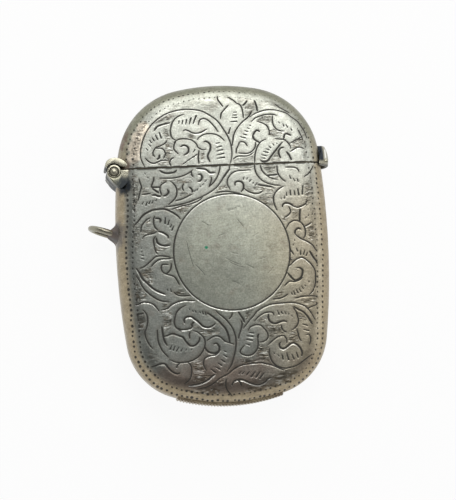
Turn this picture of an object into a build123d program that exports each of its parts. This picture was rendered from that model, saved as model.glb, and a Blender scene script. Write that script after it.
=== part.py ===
from build123d import *
import os
from math import asin, cos, degrees, hypot, radians, sin, sqrt

# Vesta case lying on its back. Z = 0 is the flat back, +Z is the engraved front,
# +Y is the lid end, and the hinge is on the -X side. All sizes are in millimetres.

# Outline of the case, seen from the front
WIDTH = 32.8
HEIGHT = 49.3
THICKNESS = 9.5
CROWN_RADIUS = 32.0
CROWN_CORNER_RADIUS = 11.7
SIDE_RADIUS = 116.0
BASE_RADIUS = 27.0
BASE_CORNER_RADIUS = 9.9
SHOULDER_RADIUS = 3.3
WALL = 0.45

# Mouth of the case
SEAM_Y = 11.85
SEAM_GAP = 0.16
COLLAR_WALL = 0.40
COLLAR_DEPTH = 2.2
COLLAR_RISE = 1.5
COLLAR_CLEARANCE = 0.12

# Hinge, with its pin square to the front face
PIN_X = -16.35
PIN_Y = 11.60
PIN_RADIUS = 0.45
PIN_HEAD_RADIUS = 0.58
PIN_HEAD_HEIGHT = 0.34
PIN_RUNNING_CLEARANCE = 0.04
KNUCKLE_RADIUS = 1.06
KNUCKLE_DISH_RADIUS = 0.74
KNUCKLE_DISH_DEPTH = 0.14
BARREL_HALF_LENGTH = 4.1
LID_KNUCKLE_HALF_LENGTH = 1.35
KNUCKLE_END_GAP = 0.05
BARREL_CLEARANCE = 0.10
BEARER_HALF_LENGTH = 4.35
BEARER_TANGENT_ANGLE = 228.0
BEARER_REACH = 2.75
BEARER_DROP = 2.9
BEARER_FOOT_REACH = 0.8
BEARER_SLOPE = 0.6
HOOD_INNER_RADIUS = 1.27
HOOD_OUTER_RADIUS = 2.15
HOOD_HALF_LENGTH = 4.15
HOOD_START_ANGLE = 11.0
HOOD_END_ANGLE = 150.0
HOOD_EDGE_RADIUS = 0.25
SAME_RADIUS = 0.001

# Thumbpiece, a half-round domed plate on the side of the lid
THUMB_DISC_RADIUS = 3.4
THUMB_DISC_LENGTH = 6.0
THUMB_BASE_DROP = 0.45
THUMB_BULGE = 1.45
THUMB_DOME_RADIUS = 4.6
THUMB_DOME_RISE = 1.1
THUMB_THICKNESS = 0.45
THUMB_STAND_OFF = 0.20
THUMB_FOOT_HEIGHT = 0.45
THUMB_FOOT_DEPTH = 1.2

# Striker, a ribbed plate on the base
STRIKER_HALF_LENGTH = 8.2
STRIKER_HALF_WIDTH = 2.3
STRIKER_THICKNESS = 0.34
STRIKER_RIB_COUNT = 25
STRIKER_RIB_DEPTH = 0.14

# Suspension loop on the hinge side
LOOP_ROOT_Y = 2.05
LOOP_MEAN_RADIUS = 2.35
LOOP_WIRE_RADIUS = 0.45
LOOP_PROTRUSION = 4.5
LOOP_TILT = 19.0
SOLDER_HALF_HEIGHT = 2.0
SOLDER_HALF_WIDTH = 2.6
SOLDER_RISE = 1.05

# Places worked out from the driving sizes
MID_Z = THICKNESS / 2
BODY_TOP_Y = SEAM_Y - SEAM_GAP / 2
LID_BOTTOM_Y = SEAM_Y + SEAM_GAP / 2
FAR = 200.0


def export(shape, name):
    export_step(shape, f"parts/{name}.step")


def tangent_centre(end_y, end_radius, corner_radius):
    """Centre of the corner arc that is tangent to an end arc and to the side arc."""
    side_x = WIDTH / 2 - SIDE_RADIUS
    reach_end = end_radius - corner_radius
    reach_side = SIDE_RADIUS - corner_radius
    apart = hypot(side_x, end_y)
    along = (reach_end**2 - reach_side**2 + apart**2) / (2 * apart)
    across = sqrt(reach_end**2 - along**2)
    unit_x = side_x / apart
    unit_y = -end_y / apart
    foot_x = unit_x * along
    foot_y = end_y + unit_y * along
    one = (foot_x - unit_y * across, foot_y + unit_x * across)
    other = (foot_x + unit_y * across, foot_y - unit_x * across)
    return max(one, other)


def on_circle(centre, toward, radius):
    """Point of a circle in the direction from its centre to another point."""
    dx = toward[0] - centre[0]
    dy = toward[1] - centre[1]
    size = hypot(dx, dy)
    return centre[0] + dx / size * radius, centre[1] + dy / size * radius


def arc_between(centre, radius, start, end):
    middle = on_circle(centre, ((start[0] + end[0]) / 2, (start[1] + end[1]) / 2), radius)
    return ThreePointArc(start, middle, end)


def outline(inset):
    """Closed outline of the case, drawn in by the inset all round."""
    crown = (0.0, HEIGHT / 2 - CROWN_RADIUS)
    base = (0.0, BASE_RADIUS - HEIGHT / 2)
    side = (WIDTH / 2 - SIDE_RADIUS, 0.0)
    top_corner = tangent_centre(crown[1], CROWN_RADIUS, CROWN_CORNER_RADIUS)
    base_corner = tangent_centre(base[1], BASE_RADIUS, BASE_CORNER_RADIUS)
    crown_end = on_circle(crown, top_corner, CROWN_RADIUS - inset)
    side_top = on_circle(side, top_corner, SIDE_RADIUS - inset)
    side_bottom = on_circle(side, base_corner, SIDE_RADIUS - inset)
    base_end = on_circle(base, base_corner, BASE_RADIUS - inset)
    half = [
        arc_between(crown, CROWN_RADIUS - inset, (0.0, HEIGHT / 2 - inset), crown_end),
        arc_between(top_corner, CROWN_CORNER_RADIUS - inset, crown_end, side_top),
        arc_between(side, SIDE_RADIUS - inset, side_top, side_bottom),
        arc_between(base_corner, BASE_CORNER_RADIUS - inset, side_bottom, base_end),
        arc_between(base, BASE_RADIUS - inset, base_end, (0.0, inset - HEIGHT / 2)),
    ]
    other_half = [edge.mirror(Plane.YZ) for edge in half]
    return make_face(half + other_half)


def pillow(inset):
    """Solid of the whole case with round shoulders, drawn in by the inset all round."""
    slab = extrude(outline(inset), THICKNESS / 2 - inset, both=True)
    layers = slab.edges().group_by(Axis.Z)
    slab = fillet(layers[0] + layers[-1], SHOULDER_RADIUS - inset)
    return Pos(0, 0, MID_Z) * slab


def region(x0, x1, y0, y1, z0, z1):
    """Box between two corners."""
    centre = Pos((x0 + x1) / 2, (y0 + y1) / 2, (z0 + z1) / 2)
    return centre * Box(x1 - x0, y1 - y0, z1 - z0)


def hinge_rod(radius, z0, z1):
    """Round rod on the pin axis."""
    return Pos(PIN_X, PIN_Y, (z0 + z1) / 2) * Cylinder(radius, z1 - z0)


def hinge_profile(points, half_length):
    """Straight-sided profile about the pin axis, as long as the hinge needs."""
    face = make_face(Polyline(*points, close=True))
    return Pos(PIN_X, PIN_Y, MID_Z) * extrude(face, half_length, both=True)


def body_groove():
    """Space that the barrel takes out of the body."""
    fixed = hinge_rod(KNUCKLE_RADIUS, MID_Z - BARREL_HALF_LENGTH, MID_Z + BARREL_HALF_LENGTH)
    reach = LID_KNUCKLE_HALF_LENGTH + KNUCKLE_END_GAP
    swept = hinge_rod(KNUCKLE_RADIUS + BARREL_CLEARANCE, MID_Z - reach, MID_Z + reach)
    return fixed + swept


def lid_groove():
    """Space that the barrel takes out of the lid."""
    whole = hinge_rod(KNUCKLE_RADIUS + BARREL_CLEARANCE, 0.0, THICKNESS)
    seat_z0 = MID_Z - LID_KNUCKLE_HALF_LENGTH
    seat_z1 = MID_Z + LID_KNUCKLE_HALF_LENGTH
    seat = hinge_rod(KNUCKLE_RADIUS + 2 * BARREL_CLEARANCE, seat_z0, seat_z1)
    return (whole - seat) + hinge_rod(KNUCKLE_RADIUS, seat_z0, seat_z1)


def shells(hollow):
    """The four stamped shells: front and back of the body and of the lid."""
    front = region(-FAR, FAR, -FAR, FAR, MID_Z, FAR)
    back = region(-FAR, FAR, -FAR, FAR, -FAR, MID_Z)
    body = (hollow & region(-FAR, FAR, -FAR, BODY_TOP_Y, -FAR, FAR)) - body_groove()
    lid = (hollow & region(-FAR, FAR, LID_BOTTOM_Y, FAR, -FAR, FAR)) - lid_groove()
    return {
        "body_front_shell": body & front,
        "body_back_shell": body & back,
        "lid_front_shell": lid & front,
        "lid_back_shell": lid & back,
    }


def mouth_collar():
    """Inner rim soldered in the mouth of the body; the lid closes over it."""
    bore = pillow(WALL + COLLAR_WALL)
    low = pillow(WALL) & region(-FAR, FAR, SEAM_Y - COLLAR_DEPTH, BODY_TOP_Y, -FAR, FAR)
    high = pillow(WALL + COLLAR_CLEARANCE)
    high &= region(-FAR, FAR, BODY_TOP_Y, SEAM_Y + COLLAR_RISE, -FAR, FAR)
    clear_of_barrel = hinge_rod(KNUCKLE_RADIUS + 2 * BARREL_CLEARANCE, -FAR, FAR)
    return (low + high) - bore - clear_of_barrel


def dish(top_z, side):
    """Shallow round seat for a pin head in the end of the barrel."""
    inward = top_z - side * KNUCKLE_DISH_DEPTH
    return hinge_rod(KNUCKLE_DISH_RADIUS, min(top_z, inward), max(top_z, inward))


def body_knuckle(side):
    """End knuckle on the body, at the front for side 1 and at the back for side -1."""
    near = MID_Z + side * (LID_KNUCKLE_HALF_LENGTH + KNUCKLE_END_GAP)
    far = MID_Z + side * BARREL_HALF_LENGTH
    tube = hinge_rod(KNUCKLE_RADIUS, min(near, far), max(near, far))
    tube -= hinge_rod(PIN_RADIUS, -FAR, FAR)
    return tube - dish(far, side)


def lid_knuckle():
    reach = LID_KNUCKLE_HALF_LENGTH
    tube = hinge_rod(KNUCKLE_RADIUS, MID_Z - reach, MID_Z + reach)
    return tube - hinge_rod(PIN_RADIUS + PIN_RUNNING_CLEARANCE, -FAR, FAR)


def pin_head(side):
    """Domed rivet head that stands on the seat in the knuckle."""
    seat = MID_Z + side * (BARREL_HALF_LENGTH - KNUCKLE_DISH_DEPTH)
    dome_radius = (PIN_HEAD_RADIUS**2 + PIN_HEAD_HEIGHT**2) / (2 * PIN_HEAD_HEIGHT)
    ball = Pos(PIN_X, PIN_Y, seat + side * (PIN_HEAD_HEIGHT - dome_radius)) * Sphere(dome_radius)
    outside = seat + side * 2 * PIN_HEAD_HEIGHT
    limit = hinge_rod(2 * PIN_HEAD_RADIUS, min(seat, outside), max(seat, outside))
    return ball & limit


def hinge_pin():
    reach = BARREL_HALF_LENGTH - KNUCKLE_DISH_DEPTH
    shank = hinge_rod(PIN_RADIUS, MID_Z - reach, MID_Z + reach)
    return shank + pin_head(1) + pin_head(-1)


def body_hinge_bearer(case):
    """Web that carries the end knuckles on the side of the body."""
    turn = radians(BEARER_TANGENT_ANGLE)
    tangent = (KNUCKLE_RADIUS * cos(turn), KNUCKLE_RADIUS * sin(turn))
    top = BODY_TOP_Y - PIN_Y
    wall_x = WIDTH / 2 + PIN_X
    run = (wall_x - tangent[0]) / -sin(turn)
    wall_y = tangent[1] + run * cos(turn)
    points = [
        (0.0, 0.0),
        tangent,
        (wall_x, wall_y),
        (wall_x + BEARER_FOOT_REACH, -BEARER_DROP),
        (BEARER_REACH - BEARER_SLOPE, -BEARER_DROP / 2),
        (BEARER_REACH, top),
        (0.0, top),
    ]
    web = hinge_profile(points, BEARER_HALF_LENGTH)
    web &= region(-FAR, FAR, -FAR, BODY_TOP_Y, -FAR, FAR)
    corner = web & region(PIN_X, FAR, -FAR, FAR, -FAR, FAR)
    end_cap = BARREL_HALF_LENGTH
    tongue = web & region(-FAR, PIN_X, -FAR, FAR, MID_Z - end_cap, MID_Z + end_cap)
    return (corner + tongue) - case - body_groove() - hinge_rod(KNUCKLE_RADIUS, -FAR, FAR)


def lid_hinge_hood(case):
    """Half-round strap on the lid that goes round the upper side of the barrel."""
    ring = Circle(HOOD_OUTER_RADIUS) - Circle(HOOD_INNER_RADIUS)
    start = radians(HOOD_START_ANGLE)
    end = radians(HOOD_END_ANGLE)
    middle = (start + end) / 2
    reach = 3 * HOOD_OUTER_RADIUS
    corners = [(reach * cos(turn), reach * sin(turn)) for turn in (start, middle, end)]
    wedge = make_face(Polyline((0.0, 0.0), *corners, close=True))
    strap = extrude(ring & wedge, HOOD_HALF_LENGTH, both=True)
    ends = strap.edges().filter_by(GeomType.CIRCLE).filter_by(
        lambda edge: abs(edge.radius - HOOD_OUTER_RADIUS) < SAME_RADIUS
    )
    strap = fillet(ends, HOOD_EDGE_RADIUS)
    strap = Pos(PIN_X, PIN_Y, MID_Z) * strap
    above = region(-FAR, FAR, LID_BOTTOM_Y, FAR, -FAR, FAR)
    left = region(-FAR, PIN_X, -FAR, FAR, -FAR, FAR)
    return (strap & (above + left)) - case


def thumbpiece(case):
    """Half-round plate domed outwards, on a foot along the lid's edge, clear of the body."""
    wall_x = WIDTH / 2 - SEAM_Y**2 / (2 * SIDE_RADIUS)
    bottom = SEAM_Y - THUMB_BASE_DROP
    dome = Sphere(THUMB_DOME_RADIUS) - Sphere(THUMB_DOME_RADIUS - THUMB_THICKNESS)
    dome_x = wall_x + THUMB_BULGE - THUMB_DOME_RADIUS
    dome = Pos(dome_x, bottom + THUMB_DOME_RISE, MID_Z) * dome
    inside_x = wall_x - THUMB_FOOT_DEPTH
    plate = dome & region(inside_x, FAR, bottom, FAR, -FAR, FAR)
    foot_top = LID_BOTTOM_Y + THUMB_FOOT_HEIGHT
    foot_x = wall_x + THUMB_BULGE - THUMB_THICKNESS / 2
    foot = region(inside_x, foot_x, LID_BOTTOM_Y, foot_top, 0.0, THICKNESS)
    disc = Pos(wall_x, bottom, MID_Z) * Rot(0, 90, 0) * Cylinder(THUMB_DISC_RADIUS, THUMB_DISC_LENGTH)
    body_room = region(-FAR, wall_x + THUMB_STAND_OFF, -FAR, LID_BOTTOM_Y, -FAR, FAR)
    return ((plate + foot) & disc) - case - body_room


def striker_plate():
    """Curved plate on the base, with ribs across it for striking a match."""
    centre = (0.0, BASE_RADIUS - HEIGHT / 2)
    outer = BASE_RADIUS + STRIKER_THICKNESS
    half_turn = asin(STRIKER_HALF_LENGTH / outer)
    start = (-outer * sin(half_turn), centre[1] - outer * cos(half_turn))
    end = (outer * sin(half_turn), start[1])
    inner_start = on_circle(centre, start, BASE_RADIUS)
    inner_end = on_circle(centre, end, BASE_RADIUS)
    edges = [
        arc_between(centre, outer, start, end),
        Line(end, inner_end),
        arc_between(centre, BASE_RADIUS, inner_end, inner_start),
        Line(inner_start, start),
    ]
    plate = Pos(0, 0, MID_Z) * extrude(make_face(edges), STRIKER_HALF_WIDTH, both=True)
    step = 2 * half_turn / (STRIKER_RIB_COUNT + 1)
    for i in range(1, STRIKER_RIB_COUNT + 1):
        turn = degrees(-half_turn + i * step)
        side = STRIKER_RIB_DEPTH * sqrt(2)
        cut = Box(side, side, 3 * STRIKER_HALF_WIDTH)
        cut = Pos(0, -outer, 0) * Rot(0, 0, 45) * cut
        plate -= Pos(0, centre[1], MID_Z) * Rot(0, 0, turn) * cut
    return plate


def loop_ring():
    """Whole ring of the suspension loop, before its root is cut to the wall."""
    tilt = radians(LOOP_TILT)
    outward = (-cos(tilt), sin(tilt), 0.0)
    wall_x = -(WIDTH / 2 - LOOP_ROOT_Y**2 / (2 * SIDE_RADIUS))
    reach = LOOP_PROTRUSION - LOOP_MEAN_RADIUS - LOOP_WIRE_RADIUS
    centre = (wall_x + reach * outward[0], LOOP_ROOT_Y + reach * outward[1], MID_Z)
    plane = Plane(origin=centre, x_dir=outward, z_dir=(sin(tilt), cos(tilt), 0.0))
    return plane * Torus(LOOP_MEAN_RADIUS, LOOP_WIRE_RADIUS)


def loop_solder(case, ring):
    """Mound of solder that holds both feet of the loop on the wall."""
    wall_x = -(WIDTH / 2 - LOOP_ROOT_Y**2 / (2 * SIDE_RADIUS))
    mound = scale(Sphere(1.0), by=(2 * SOLDER_RISE, SOLDER_HALF_HEIGHT, SOLDER_HALF_WIDTH))
    return Pos(wall_x + SOLDER_RISE, LOOP_ROOT_Y, MID_Z) * mound - case - ring


def main():
    os.makedirs("parts", exist_ok=True)
    case = pillow(0.0)
    hollow = case - pillow(WALL)
    for name, shell in shells(hollow).items():
        export(shell, name)
    export(mouth_collar(), "mouth_collar")
    export(striker_plate(), "striker_plate")
    export(body_knuckle(1), "body_knuckle_front")
    export(body_knuckle(-1), "body_knuckle_back")
    export(body_hinge_bearer(case), "body_hinge_bearer")
    export(hinge_pin(), "hinge_pin")
    export(lid_knuckle(), "lid_knuckle")
    export(lid_hinge_hood(case), "lid_hinge_hood")
    export(thumbpiece(case), "thumbpiece")
    ring = loop_ring()
    export(ring - case, "suspension_loop")
    export(loop_solder(case, ring), "loop_solder")


main()
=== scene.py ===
import math

import bmesh
import bpy
import numpy as np
from mathutils import Euler, Matrix, Vector


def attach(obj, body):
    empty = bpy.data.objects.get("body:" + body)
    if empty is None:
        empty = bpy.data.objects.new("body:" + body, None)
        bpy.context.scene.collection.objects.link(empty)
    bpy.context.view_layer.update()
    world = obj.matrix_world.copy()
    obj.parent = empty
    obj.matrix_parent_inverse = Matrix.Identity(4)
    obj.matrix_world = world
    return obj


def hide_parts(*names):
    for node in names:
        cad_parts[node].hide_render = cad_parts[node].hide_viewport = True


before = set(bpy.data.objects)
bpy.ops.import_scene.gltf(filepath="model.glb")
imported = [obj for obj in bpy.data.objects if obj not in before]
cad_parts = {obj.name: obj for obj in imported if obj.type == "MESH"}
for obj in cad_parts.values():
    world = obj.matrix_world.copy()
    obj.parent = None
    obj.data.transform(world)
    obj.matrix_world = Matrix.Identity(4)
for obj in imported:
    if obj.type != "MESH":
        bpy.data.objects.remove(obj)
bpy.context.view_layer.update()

bl_info = {
    "name": "Engraved vesta case",
    "version": (1, 0, 0),
    "blender": (4, 5, 0),
    "location": "View3D > Sidebar > Vesta case",
    "description": "Builds an engraved silver vesta case around its packed frame",
    "category": "Object",
}

# Lengths in this file are millimetres until a mesh is made. Z = 0 is the back of the case,
# +Z the engraved front, +Y the lid, and the hinge is on the -X side.
MM = 0.001


def size_property(name, value, description):
    """Length in millimetres for the panel."""
    return bpy.props.FloatProperty(name=name, default=value, description=description, min=0.0)


def colour_property(name, value, description):
    """Colour swatch for the panel."""
    return bpy.props.FloatVectorProperty(
        name=name, default=value, description=description, size=3, subtype="COLOR", min=0.0, max=1.0
    )


class VestaCaseSizes(bpy.types.PropertyGroup):
    """Main sizes of the case, the same as the frame's."""

    width: size_property("Width", 32.8, "Width of the case without its fittings")
    height: size_property("Height", 49.3, "Height of the case without its fittings")
    thickness: size_property("Thickness", 9.5, "Thickness from back to front")
    crown_radius: size_property("Crown radius", 32.0, "Radius of the top edge")
    crown_corner_radius: size_property("Crown corner radius", 11.7, "Radius of the top corners")
    side_radius: size_property("Side radius", 116.0, "Radius of the bowed sides")
    base_radius: size_property("Base radius", 27.0, "Radius of the bottom edge")
    base_corner_radius: size_property("Base corner radius", 9.9, "Radius of the bottom corners")
    shoulder: size_property("Shoulder radius", 3.3, "Radius where the faces turn into the sides")
    wall: size_property("Wall", 0.45, "Thickness of the sheet silver")
    seam_y: size_property("Seam", 11.85, "Height of the seam between lid and body")
    seam_gap: size_property("Seam gap", 0.16, "Gap between lid and body")


class VestaHingeSizes(bpy.types.PropertyGroup):
    """Sizes of the hinge on the left side."""

    pin_x: bpy.props.FloatProperty(name="Pin X", default=-16.35, description="Pin axis across")
    pin_y: size_property("Pin Y", 11.60, "Pin axis along the case")
    pin_radius: size_property("Pin radius", 0.45, "Radius of the pin")
    head_radius: size_property("Head radius", 0.58, "Radius of the riveted head")
    head_height: size_property("Head height", 0.34, "Height of the riveted head")
    knuckle_radius: size_property("Knuckle radius", 1.06, "Radius of the barrel")
    dish_radius: size_property("Dish radius", 0.74, "Radius of the sunk end of the barrel")
    dish_depth: size_property("Dish depth", 0.14, "Depth of the sunk end of the barrel")
    barrel_half: size_property("Barrel half length", 4.1, "Half the length of the barrel")
    lid_knuckle_half: size_property("Lid knuckle half length", 1.35, "Half the middle knuckle")
    end_gap: size_property("End gap", 0.05, "Gap between two knuckles")
    clearance: size_property("Clearance", 0.10, "Room round the barrel")
    hood_inner: size_property("Hood inner radius", 1.27, "Inside of the strap on the lid")
    hood_outer: size_property("Hood outer radius", 2.15, "Outside of the strap on the lid")


class VestaEngraving(bpy.types.PropertyGroup):
    """How finely and how deeply the case is engraved."""

    body_pitch: size_property("Body mesh pitch", 0.43, "Mesh cell on the front of the body")
    lid_pitch: size_property("Lid mesh pitch", 0.28, "Mesh cell on the front of the lid")
    back_pitch: size_property("Back mesh pitch", 0.48, "Mesh cell on the back")
    lining_pitch: size_property("Lining mesh pitch", 0.6, "Mesh cell inside the case")
    outline_width: size_property("Outline half width", 0.115, "Half the width of a leaf outline")
    outline_depth: size_property("Outline depth", 0.055, "Depth of a leaf outline")
    bold_width: size_property("Bold half width", 0.155, "Half the width of a swelling cut")
    bold_depth: size_property("Bold depth", 0.075, "Depth of a swelling cut")
    fine_width: size_property("Fine half width", 0.12, "Half the width of a light cut")
    fine_depth: size_property("Fine depth", 0.06, "Depth of a light cut")
    vein_width: size_property("Vein half width", 0.13, "Half the width of a leaf vein")
    vein_depth: size_property("Vein depth", 0.065, "Depth of a leaf vein")
    roll_reach: size_property("Roll reach", 0.42, "How far a leaf rolls down to its outline")
    roll_depth: size_property("Roll depth", 0.010, "How much a leaf rolls down to its outline")
    dot_pitch: size_property("Dot pitch", 0.80, "Distance between two pricked dots")
    dot_radius: size_property("Dot radius", 0.19, "Radius of a pricked dot")
    dot_depth: size_property("Dot depth", 0.09, "Depth of a pricked dot")


class VestaFinish(bpy.types.PropertyGroup):
    """Colours of the worn silver, some of which also paint shade and highlights."""

    silver: colour_property("Silver", (0.655, 0.67, 0.59), "Clean rubbed silver")
    warm: colour_property("Warm tarnish", (0.36, 0.30, 0.20), "Tan tarnish on the sides")
    # Painted highlight: whitish warm spots along the left shoulder of the lid.
    painted_shoulder_highlight: colour_property("Cream", (0.95, 0.84, 0.68), "Pale warm band beside the border of the lid")
    olive: colour_property("Olive tarnish", (0.24, 0.24, 0.175), "Olive tarnish round the top edge")
    # Grey towards the lower left: partly tarnish, partly painted shade.
    cool_tarnish_and_shade: colour_property("Cool tarnish", (0.24, 0.25, 0.225), "Grey tarnish towards the base")
    # Also darkens the base: partly tarnish, partly painted shade.
    brown_tarnish_and_shade: colour_property("Brown tarnish", (0.19, 0.14, 0.11), "Brown tarnish near the base")
    # Also laid as painted shade under the hinge, on the hinge away from its front end, and beside the thumbpiece's
    # wall.
    patina: colour_property("Patina", (0.02, 0.028, 0.038), "Blue-black patina beside the hinge")
    verdigris: colour_property("Verdigris", (0.04, 0.24, 0.14), "Green speck in the circle")
    # Also laid as a painted highlight on the cut walls that face the light and on the thumbpiece's rim.
    rubbed: colour_property("Rubbed edges", (0.88, 0.88, 0.82), "Bright metal on the edges of the cuts")
    chased: colour_property("Chased ground", (0.12, 0.098, 0.068), "Darkened ground between the leaves")
    oxide: colour_property("Oxide", (0.022, 0.021, 0.017), "Dark oxide in the cuts")
    lining: colour_property("Lining", (0.56, 0.50, 0.36), "Worn gilt-grey inside")
    # Darkened partly as painted shade, for the darker look of the hinge, the thumbpiece and the ring.
    fittings_tone_and_shade: colour_property("Fittings", (0.40, 0.385, 0.30), "Darker silver of the hinge and the ring")
    solder: colour_property("Solder", (0.15, 0.142, 0.135), "Grey-brown solder")
    roughness: bpy.props.FloatProperty(
        name="Roughness", default=0.40, description="Roughness of the rubbed silver",
        min=0.0, max=1.0, subtype="FACTOR",
    )


class VestaStage(bpy.types.PropertyGroup):
    """Floor, lights and camera."""

    floor_size: bpy.props.FloatProperty(
        name="Floor size", default=1.6, description="Side of the pale floor", unit="LENGTH"
    )
    key_power: bpy.props.FloatProperty(
        name="Key power", default=0.34, description="Softbox above the lid", unit="POWER"
    )
    window_power: bpy.props.FloatProperty(
        name="Window power", default=0.65, description="Low light from beyond the lid", unit="POWER"
    )
    fill_power: bpy.props.FloatProperty(
        name="Fill power", default=0.12, description="Softbox on the right", unit="POWER"
    )
    world_strength: bpy.props.FloatProperty(
        name="World strength", default=0.24, description="Light from all round"
    )


# Engraving, read from the photograph in millimetres on the front. Each line is a few points that a smooth curve goes
# through.
LID_OUTLINES = [
    [(-11.6, 11.9), (-12.15, 13.2), (-12.2, 14.4), (-11.8, 16), (-11.1, 17.5), (-10, 18.8),
     (-8.5, 19.85), (-7, 20.4), (-5.4, 20.65), (-4, 20.6), (-2.5, 20.3), (-1, 19.4),
     (0, 18.5), (1, 16.9), (1.6, 15.6), (1.85, 14.2), (1.8, 13.1), (1.5, 12)],
    [(-3.1, 18.2), (-2.9, 18.85), (-2.5, 19.1), (-2, 19.1), (-1.4, 18.7), (-0.7, 17.9), (-0.1, 17)],
    [(-5.3, 19.9), (-6.2, 19.6), (-7, 18.9), (-7.4, 17.8), (-7.45, 17), (-7.2, 16.3), (-6.6, 15.9)],
    [(-5.5, 17.3), (-5.2, 17.5), (-4.6, 17.3), (-4.1, 17), (-3.5, 16.9), (-2.8, 17), (-1.8, 17.5)],
    [(-7, 15.6), (-6.6, 15.9), (-6, 16.1), (-5.2, 16.1), (-4.3, 15.9), (-3.6, 15.3),
     (-3.3, 14.7), (-2.6, 14.3), (-2.1, 14.4)],
    [(-6.6, 15.9), (-7, 15.2), (-7, 14.5), (-6.4, 13.8)],
    [(-3.4, 15.9), (-3, 16.3), (-2.2, 16.7), (-1.3, 16.75), (-0.5, 16.6), (0.2, 16.2), (0.8, 15.6)],
    [(-3.2, 14.3), (-3.35, 13.2), (-3.3, 12.2)],
    [(-7.1, 13.3), (-7.6, 13), (-7.8, 12.5), (-7.6, 12)],
    [(-8.1, 16), (-8.3, 15.6), (-9, 15.2), (-9.8, 14.9), (-10.2, 14.4), (-10.3, 13.9), (-10, 13.5)],
    [(-9.7, 14.8), (-9, 14.8), (-8.6, 14.5), (-8.4, 13.9), (-8.7, 13.2)],
    [(-8, 12.9), (-9, 12.9), (-9.8, 12.6), (-10.3, 12.5), (-11, 12.8), (-11.5, 13.4)],
    [(1.7, 21.1), (1, 20.4), (0.5, 19.8), (0.35, 19)],
    [(2.9, 21.4), (3.4, 21.1), (3.7, 20.6), (3.85, 19.8), (3.9, 19)],
    [(1.6, 22.4), (2.4, 21.9), (3, 21.3)],
    [(0.05, 22.6), (0.1, 22), (0.8, 20.9)],
    [(4.9, 19.4), (4.2, 18.8), (3.5, 18.2), (2.8, 17.4), (2.3, 16.5), (2.1, 15.6), (1.95, 14.8)],
    [(4.9, 19.1), (5.5, 19.5), (6.2, 19.8), (7.4, 20.1), (8.6, 20.1), (9.2, 20), (10.5, 19.6),
     (11.4, 18.9), (12.2, 18.3), (12.6, 17.8), (13.3, 16.6), (13.6, 15.6)],
    [(5.1, 18.4), (5.7, 18.9), (6.5, 19.2), (7.3, 19.4), (8.3, 19.4), (9.1, 19.2)],
    [(6, 18.4), (6.8, 18.1), (7.4, 17.7), (7.7, 17.2), (7.8, 16.6), (7.7, 16.2)],
    [(2.9, 14.8), (3.2, 15.3), (3.9, 15.2), (4.3, 14.6)],
    [(2.9, 14.8), (2.6, 14.2), (2.5, 13.6)],
    [(2.9, 13.6), (3.6, 13.5), (4.4, 13.5), (5.1, 13.9), (5.5, 14.5), (5.6, 15.2)],
    [(2, 12.7), (2.8, 13.1), (4.2, 13.1), (5.2, 13.6)],
    [(5.3, 12), (5.4, 13.2), (5.8, 14.4), (6.4, 15.2), (7.2, 15.6)],
    [(8.6, 15.6), (9.4, 15.5), (10, 15.4), (10.5, 15), (10.9, 14.4), (11, 14)],
    [(8.4, 19.2), (8.35, 18.4), (8.5, 17.7), (8.9, 17.1), (9.5, 16.8), (10, 16.7)],
    [(12.3, 16.9), (12.7, 16), (13, 15.2)],
    [(10.9, 14.8), (12.1, 15.4), (12.7, 15.7)],
    [(10.9, 13.5), (11.4, 13.8), (12, 14.1), (12.6, 14.1), (13, 13.9)],
    [(8.9, 21.1), (9.6, 20.5), (11.1, 19.6)],
]
LID_BOLD = [
    [(-6, 14.9), (-5.6, 15.1), (-5.1, 15), (-4.8, 14.6), (-4.9, 14), (-5.5, 13.6)],
    [(-2.4, 15.5), (-2.1, 15.6), (-1.6, 15.3), (-1.4, 14.8), (-1.5, 14.2), (-1.9, 13.3), (-1.6, 12.4)],
    [(-9.3, 13.8), (-9.4, 13.3), (-9.7, 13.1)],
    [(-9.9, 17.6), (-9.5, 18.1), (-8.8, 18.4), (-7.5, 18.7)],
    [(5.2, 20), (4.8, 19.3), (4, 18.6)],
    [(5.2, 16.2), (5.5, 16.7), (5.9, 17), (6.3, 16.8)],
    [(5.2, 16.3), (5.3, 15.8), (5.7, 15.4), (6.2, 15.1)],
    [(9.7, 15), (8.8, 14), (7.8, 12.8), (7.3, 12.2), (6.6, 12.1), (6.2, 12.4)],
    [(9.9, 14.2), (9.4, 14.1), (9.1, 13.7), (9.1, 13.2), (9.3, 12.6)],
    [(10, 15.6), (10.1, 16.1), (10.5, 16.3), (11.1, 16)],
    [(10.3, 13.5), (10.7, 12.9), (11, 12.2)],
    [(3.9, 20.9), (4.3, 21.3), (4.6, 21.7)],
    [(5.75, 21.7), (6, 20.8), (6.1, 20)],
]
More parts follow.
